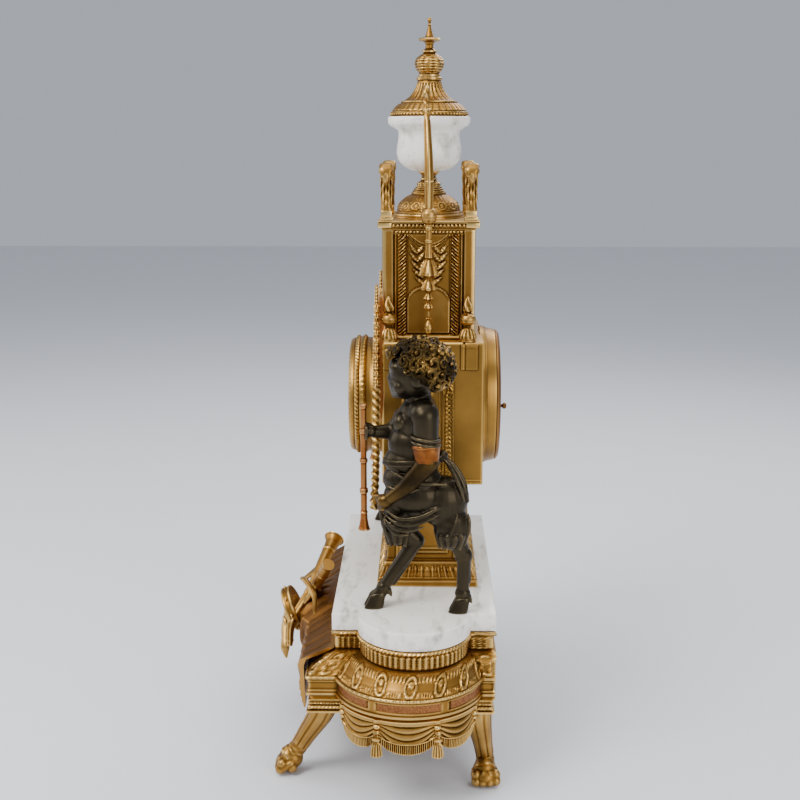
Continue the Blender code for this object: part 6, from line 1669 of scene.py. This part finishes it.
headZ = faunSet["headZ"]
torso = [lump((0, 2, 147), (17, 16.5, 18)), lump((0, -1, 130), (16.5, 19, 18)),
         lump((0, -3, 117), (16.5, 20, 14)), lump((6.5, -10.5, 148), (8.5, 6, 7.5)),
         lump((-6.5, -10.5, 148), (8.5, 6, 7.5)), lump((0, 5, 158), (18, 11, 9)),
         lump((15, 7, 155), (10, 11, 11)), lump((-15, 2, 155), (10, 10.5, 11)),
         limbBar((0, 4, 160), (0, 1, 173), 9.8, 9.0), limbBar((16, 7.5, 154), (17.5, 8.5, 128), 10.2, 9.0),
         limbBar((-16, -1, 154), (-16, -16, 135), 8.8, 7.2),
         limbBar((-16, -16, 135), (-11, -31, 136), 6.6, 4.6), lump((-10, -33, 137), (4.8, 5.0, 4.6))]
for k in range(4):
    torso.append(limbBar((-9 + 0.4 * k, -36.5, 140.5 - 2.7 * k), (-5.5, -36.0, 140.0 - 2.7 * k), 1.6, 1.4))
torso.append(limbBar((-12, -33.5, 141), (-9.5, -38.2, 143), 1.7, 1.4))
head = [lump((0, 0, headZ + 2), (16.4, 17.6, 17.6)), lump((0, -8, headZ - 5), (12.8, 10.2, 11)),
        lump((0, -12.0, headZ - 11.5), (5.4, 4.8, 4.4)), lump((7.6, -9.6, headZ - 6.2), (6.2, 5.6, 5.8)),
        lump((-7.6, -9.6, headZ - 6.2), (6.2, 5.6, 5.8)), lump((0, -13.0, headZ + 6.8), (10.5, 5.0, 6.0)),
        limbBar((0, -16.2, headZ + 3.0), (0, -17.6, headZ - 1.4), 1.5, 1.9),
        lump((1.5, -17.0, headZ - 2.8), (1.4, 1.4, 1.2)), lump((-1.5, -17.0, headZ - 2.8), (1.4, 1.4, 1.2)),
        limbBar((-2.9, -15.8, headZ - 6.4), (2.9, -15.8, headZ - 6.4), 1.15, 1.15),
        limbBar((-2.2, -15.6, headZ - 8.4), (2.2, -15.6, headZ - 8.4), 1.2, 1.2),
        limbBar((-8.2, -13.8, headZ + 4.6), (-3.0, -15.6, headZ + 5.0), 1.1, 1.1),
        limbBar((3.0, -15.6, headZ + 5.0), (8.2, -13.8, headZ + 4.6), 1.1, 1.1),
        lump((5.3, -13.4, headZ + 1.6), (2.7, 2.3, 1.9)), lump((-5.3, -13.4, headZ + 1.6), (2.7, 2.3, 1.9))]
for sx in (-1, 1):
    head.append(lump((sx * 16.2, 1.0, headZ - 1.0), (1.8, 3.2, 4.6), (0.35, 0, 0)))
    head.append(limbBar((sx * 16.6, 2.8, headZ + 1.8), (sx * 17.2, 5.4, headZ + 6.6), 1.7, 0.7))
headAt = atFaun(0, 0, headZ) * mm
growHead = Matrix.Translation(headAt) @ Matrix.Scale(faunSet["headScale"], 4) @ Matrix.Translation(-headAt)
for piece in head:
    piece.data.transform(growHead)
bodySkin = meltTogether(torso + head, "faunTorso", faunSet["voxel"], 4)

tunic = [lump((0, -2, 103), (17.2, 22, 15)), lump((0, 3, 90), (18.3, 26.5, 17)),
         lump((2, 21, 86), (16, 19, 20)), lump((-1, -11, 84), (14.5, 14, 14)),
         lump((5, 28, 67), (12, 14, 17)), lump((-4, -12, 68), (11, 12, 15)),
         limbBar((5, 28, 72), (5, 28, 59), 12.2, 10.0), limbBar((-4, -12, 70), (-4, -12, 58), 11.2, 9.2)]
for z, grow in ((119.4, 1.0), (116.6, 1.02)):
    ring = [atFaun(17.3 * grow * math.cos(a), -1.2 + 21.6 * grow * math.sin(a), z + 1.6 * math.sin(a + 0.5))
            for a in np.linspace(0, 2 * math.pi, 73)]
    tunic.append(tubeAlong("sash", ring, [1.35] * 73, 12))
folds = [((12, -23, 84), (16.6, -12, 77), (18.2, 2, 78), (17.5, 16, 84), (14, 29, 92)),
         ((11, -24, 80), (16, -12, 72.5), (17.4, 1, 73), (17, 14, 78), (14.5, 27, 84)),
         ((10, -24, 76), (14.5, -13, 68), (16.4, -2, 68), (16.6, 9, 71)),
         ((9, -23, 72), (12.5, -14, 64), (13.6, -4, 63)), ((13, -21, 101), (17.6, -8, 97), (18.4, 4, 100)),
         ((14, -18, 113), (17.6, -4, 106), (18.6, 10, 104), (17, 24, 103)),
         ((-12, -23, 84), (-16.6, -12, 77), (-18.2, 2, 78), (-17.5, 16, 84), (-12, 30, 92)),
         ((-11, -24, 78), (-15.6, -12, 71), (-17.2, 1, 72), (-17, 14, 78)),
         ((6, 20, 121), (10, 27, 113), (12.5, 33, 101), (13, 37.5, 88)),
         ((3, 21, 121), (5, 29.5, 112), (6.5, 36, 100), (7, 40.6, 86)),
         ((-1, 21, 121), (-1, 30, 112), (-1, 37, 100), (-1, 41.2, 85)),
         ((-5, 20, 121), (-7, 27.5, 112), (-9, 33.5, 101), (-9.5, 37.5, 87)),
         ((14.5, 32, 80), (16.4, 28, 68), (16.2, 25, 58)), ((10, 40, 80), (11, 40.5, 68), (10, 38, 57)),
         ((7, -21, 78), (6.4, -22.4, 68), (5, -20.5, 58)),
         ((-2, -25.4, 82), (-3, -24.4, 70), (-4, -22.5, 58))]
for fold in folds:
    path = roundPath([atFaun(*p) for p in fold], 8)
    tunic.append(tubeAlong("fold", path, spreadValues([0.5, 1.7, 1.9, 1.6, 0.5], len(path)), 12))
for centre, reach, low in (((5, 28), (11.4, 11.0), 52.5), ((-4, -12), (10.2, 9.8), 51.5)):
    for k in range(13):
        a = 2 * math.pi * k / 13 + 0.2
        x, y = centre[0] + reach[0] * math.cos(a), centre[1] + reach[1] * math.sin(a)
        hem = (x - 1.3 * math.cos(a), y - 1.3 * math.sin(a), low + 1.6 * math.cos(k * 2.1))
        tunic.append(limbBar((x, y, 62), hem, 2.7, 1.2))
tunic.append(lump((0, 20.6, 121), (6, 4.4, 4.2)))
tunicSkin = meltTogether(tunic, "faunTunic", faunSet["voxel"], 2)

legs = [limbBar((-4, -9, 62), (-4, 0.5, 54), 8.2, 6.6), lump((-4, 1.0, 53), (6.0, 6.8, 7.0)),
        limbBar((-4, 0.5, 52), (-4.4, -21.5, 19), 6.0, 4.5), lump((-4.5, -23.6, 15.5), (5.3, 5.6, 5.4)),
        limbBar((-4.5, -24, 14), (-4.5, -27.5, 9), 5.0, 5.4), limbBar((5, 30, 62), (5, 36, 46), 8.4, 6.0),
        lump((5, 37, 44), (5.8, 6.9, 7.4)), limbBar((5, 37.4, 42), (5, 36.6, 16), 5.3, 4.8),
        lump((5, 36.6, 14.5), (5.7, 6.1, 5.2)), limbBar((5, 36.6, 14), (5, 36.2, 9), 5.2, 5.6),
        limbBar((5, 41.0, 46), (5, 41.6, 24), 1.8, 1.4), limbBar((-4, 4.4, 50), (-4.4, -15.5, 18), 1.8, 1.4)]
for x, y, z in ((-4.5, -19.5, 13), (5, 41.4, 12)):
    for k in (-1, 1):
        legs.append(limbBar((x + k * 2.2, y, z), (x + k * 2.6, y + 2.0, z - 4.0), 2.0, 0.9))
legSkin = meltTogether(legs, "faunLegs", 0.85, 2)


def hoof(x, y, turn):
    halves = []
    for sx in (-1, 1):
        half = turnedRelief("hoof", [(0.0, 12.2), (3.2, 11.8), (4.2, 10.0), (4.4, 7.0), (5.0, 2.4),
                                     (5.1, 0.2), (0.0, 0.0)], (0, 0, 0), 36, step=0.7)
        for v in half.data.vertices:
            v.co.x = v.co.x * 0.72 + sx * 3.3 * mm
            v.co.y = v.co.y * 1.42 - max(0.0, 0.012 - v.co.z) * 0.34
        half.data.transform(Matrix.Translation(atFaun(x, y, 0) * mm) @ Matrix.Rotation(turn, 4, "Z"))
        halves.append(half)
    return halves


hooves = hoof(-4.4, -27.4, 0.1) + hoof(5, 37.2, -0.1)
rings = []
for z, y in ((138.4, 7.9), (134.6, 8.1)):
    ring = [atFaun(16.8 + 10.1 * math.cos(a), y + 10.2 * math.sin(a), z - 1.4 * math.sin(a))
            for a in np.linspace(0, 2 * math.pi, 61)]
    rings.append(tubeAlong("armlet", ring, [1.25] * 61, 14))
faun = joinAll([bodySkin, tunicSkin, legSkin, *hooves, *rings], "faun")
pairOf(faun, "faun", bronze, ["faun"], 60)


goldenAngle = 2.39996  # radians, which spreads the curls evenly over the head


def facing(direction, turn):
    return direction.to_track_quat("Z", "Y").to_matrix().to_4x4() @ Matrix.Rotation(turn, 4, "Z")


def curlyHair():
    rng = random.Random(21)
    curls = [lump((0, 3.6, headZ + 5.5), (17.4, 19.4, 16.8))]
    spiral = []
    for k in range(30):
        reach = 0.5 + 2.9 * (1 - k / 30)
        spiral.append((reach * math.cos(k * 0.29), reach * math.sin(k * 0.29), 0.10 * k))
    seed = tubeAlong("curl", spiral, spreadValues([0.3, 1.2, 1.45, 1.3, 1.1], 30), 8)
    for k in range(faunSet["curls"]):
        height = 1 - 1.6 * (k + 0.5) / faunSet["curls"]
        ring = math.sqrt(max(0, 1 - height * height))
        angle = k * goldenAngle
        normal = Vector((ring * math.cos(angle), ring * math.sin(angle), height))
        if normal.y < -0.50 and normal.z < 0.55 or normal.z < 0.0 and normal.y < 0.30:
            continue
        place = atFaun(0, 3.8, headZ + 5.5) + Vector((normal.x * 18.4, normal.y * 20.4, normal.z * 17.6))
        turn = facing(normal, rng.uniform(0, 6.28))
        grow = Matrix.Scale(rng.uniform(1.1, 1.6), 4)
        curls.append(copyOf(seed, "curl", Matrix.Translation(place * mm) @ turn @ grow))
    for k in range(7):
        place = atFaun(-5.4 + 1.8 * k, -15.4 - 0.6 * math.cos(k - 3),
                       headZ + 15.0 + 1.4 * math.cos((k - 3) * 0.5))
        turn = facing(Vector((0, -1, 0.6)), k * 1.1)
        curls.append(copyOf(seed, "curl", Matrix.Translation(place * mm) @ turn @ Matrix.Scale(1.2, 4)))
    bpy.data.objects.remove(seed, do_unlink=True)
    whole = joinAll(curls, "faunHair")
    whole.data.transform(growHead)
    return whole


pairOf(curlyHair(), "faunHair", bronzeHair, angle=60)

cuffPath = roundPath([atFaun(17.0, 8.2, 133.5), atFaun(17.2, 8.4, 131.5), atFaun(17.6, 8.9, 126),
                      atFaun(17.9, 9.2, 120), atFaun(18.0, 9.0, 117)], 8)
cuff = tubeAlong("cuff", cuffPath, spreadValues([9.4, 9.9, 9.8, 9.3, 7.6, 4.0], len(cuffPath)), 40,
                 lambda t, s: 0.25 * np.cos(6 * t + s * 0.3) + 0.5 * (s < 2.2))
pairOf(cuff, "faunCuff", bronzeArm, angle=60)
forearm = [limbBar((17.8, 9.8, 120), (15.2, -6, 101), 8.6, 6.6),
           limbBar((15.2, -6, 101), (11.5, -17, 91.5), 6.6, 5.0),
           lump((10.0, -21.5, 88.5), (5.0, 6.4, 5.6))]
for k in range(4):  # the fingers round the garland
    forearm.append(limbBar((8.6 + 0.6 * k, -25.6 + 0.8 * k, 91 - 2.9 * k),
                           (2.4 + 0.3 * k, -28.4 + 0.5 * k, 89 - 2.9 * k), 1.9, 1.5))
forearm.append(limbBar((9.0, -25, 91.5), (4.0, -31, 90.5), 1.9, 1.5))
pairOf(meltTogether(forearm, "faunForearm", 0.85, 3), "faunForearm", bronzeWorn, angle=60)
print("fauns done")
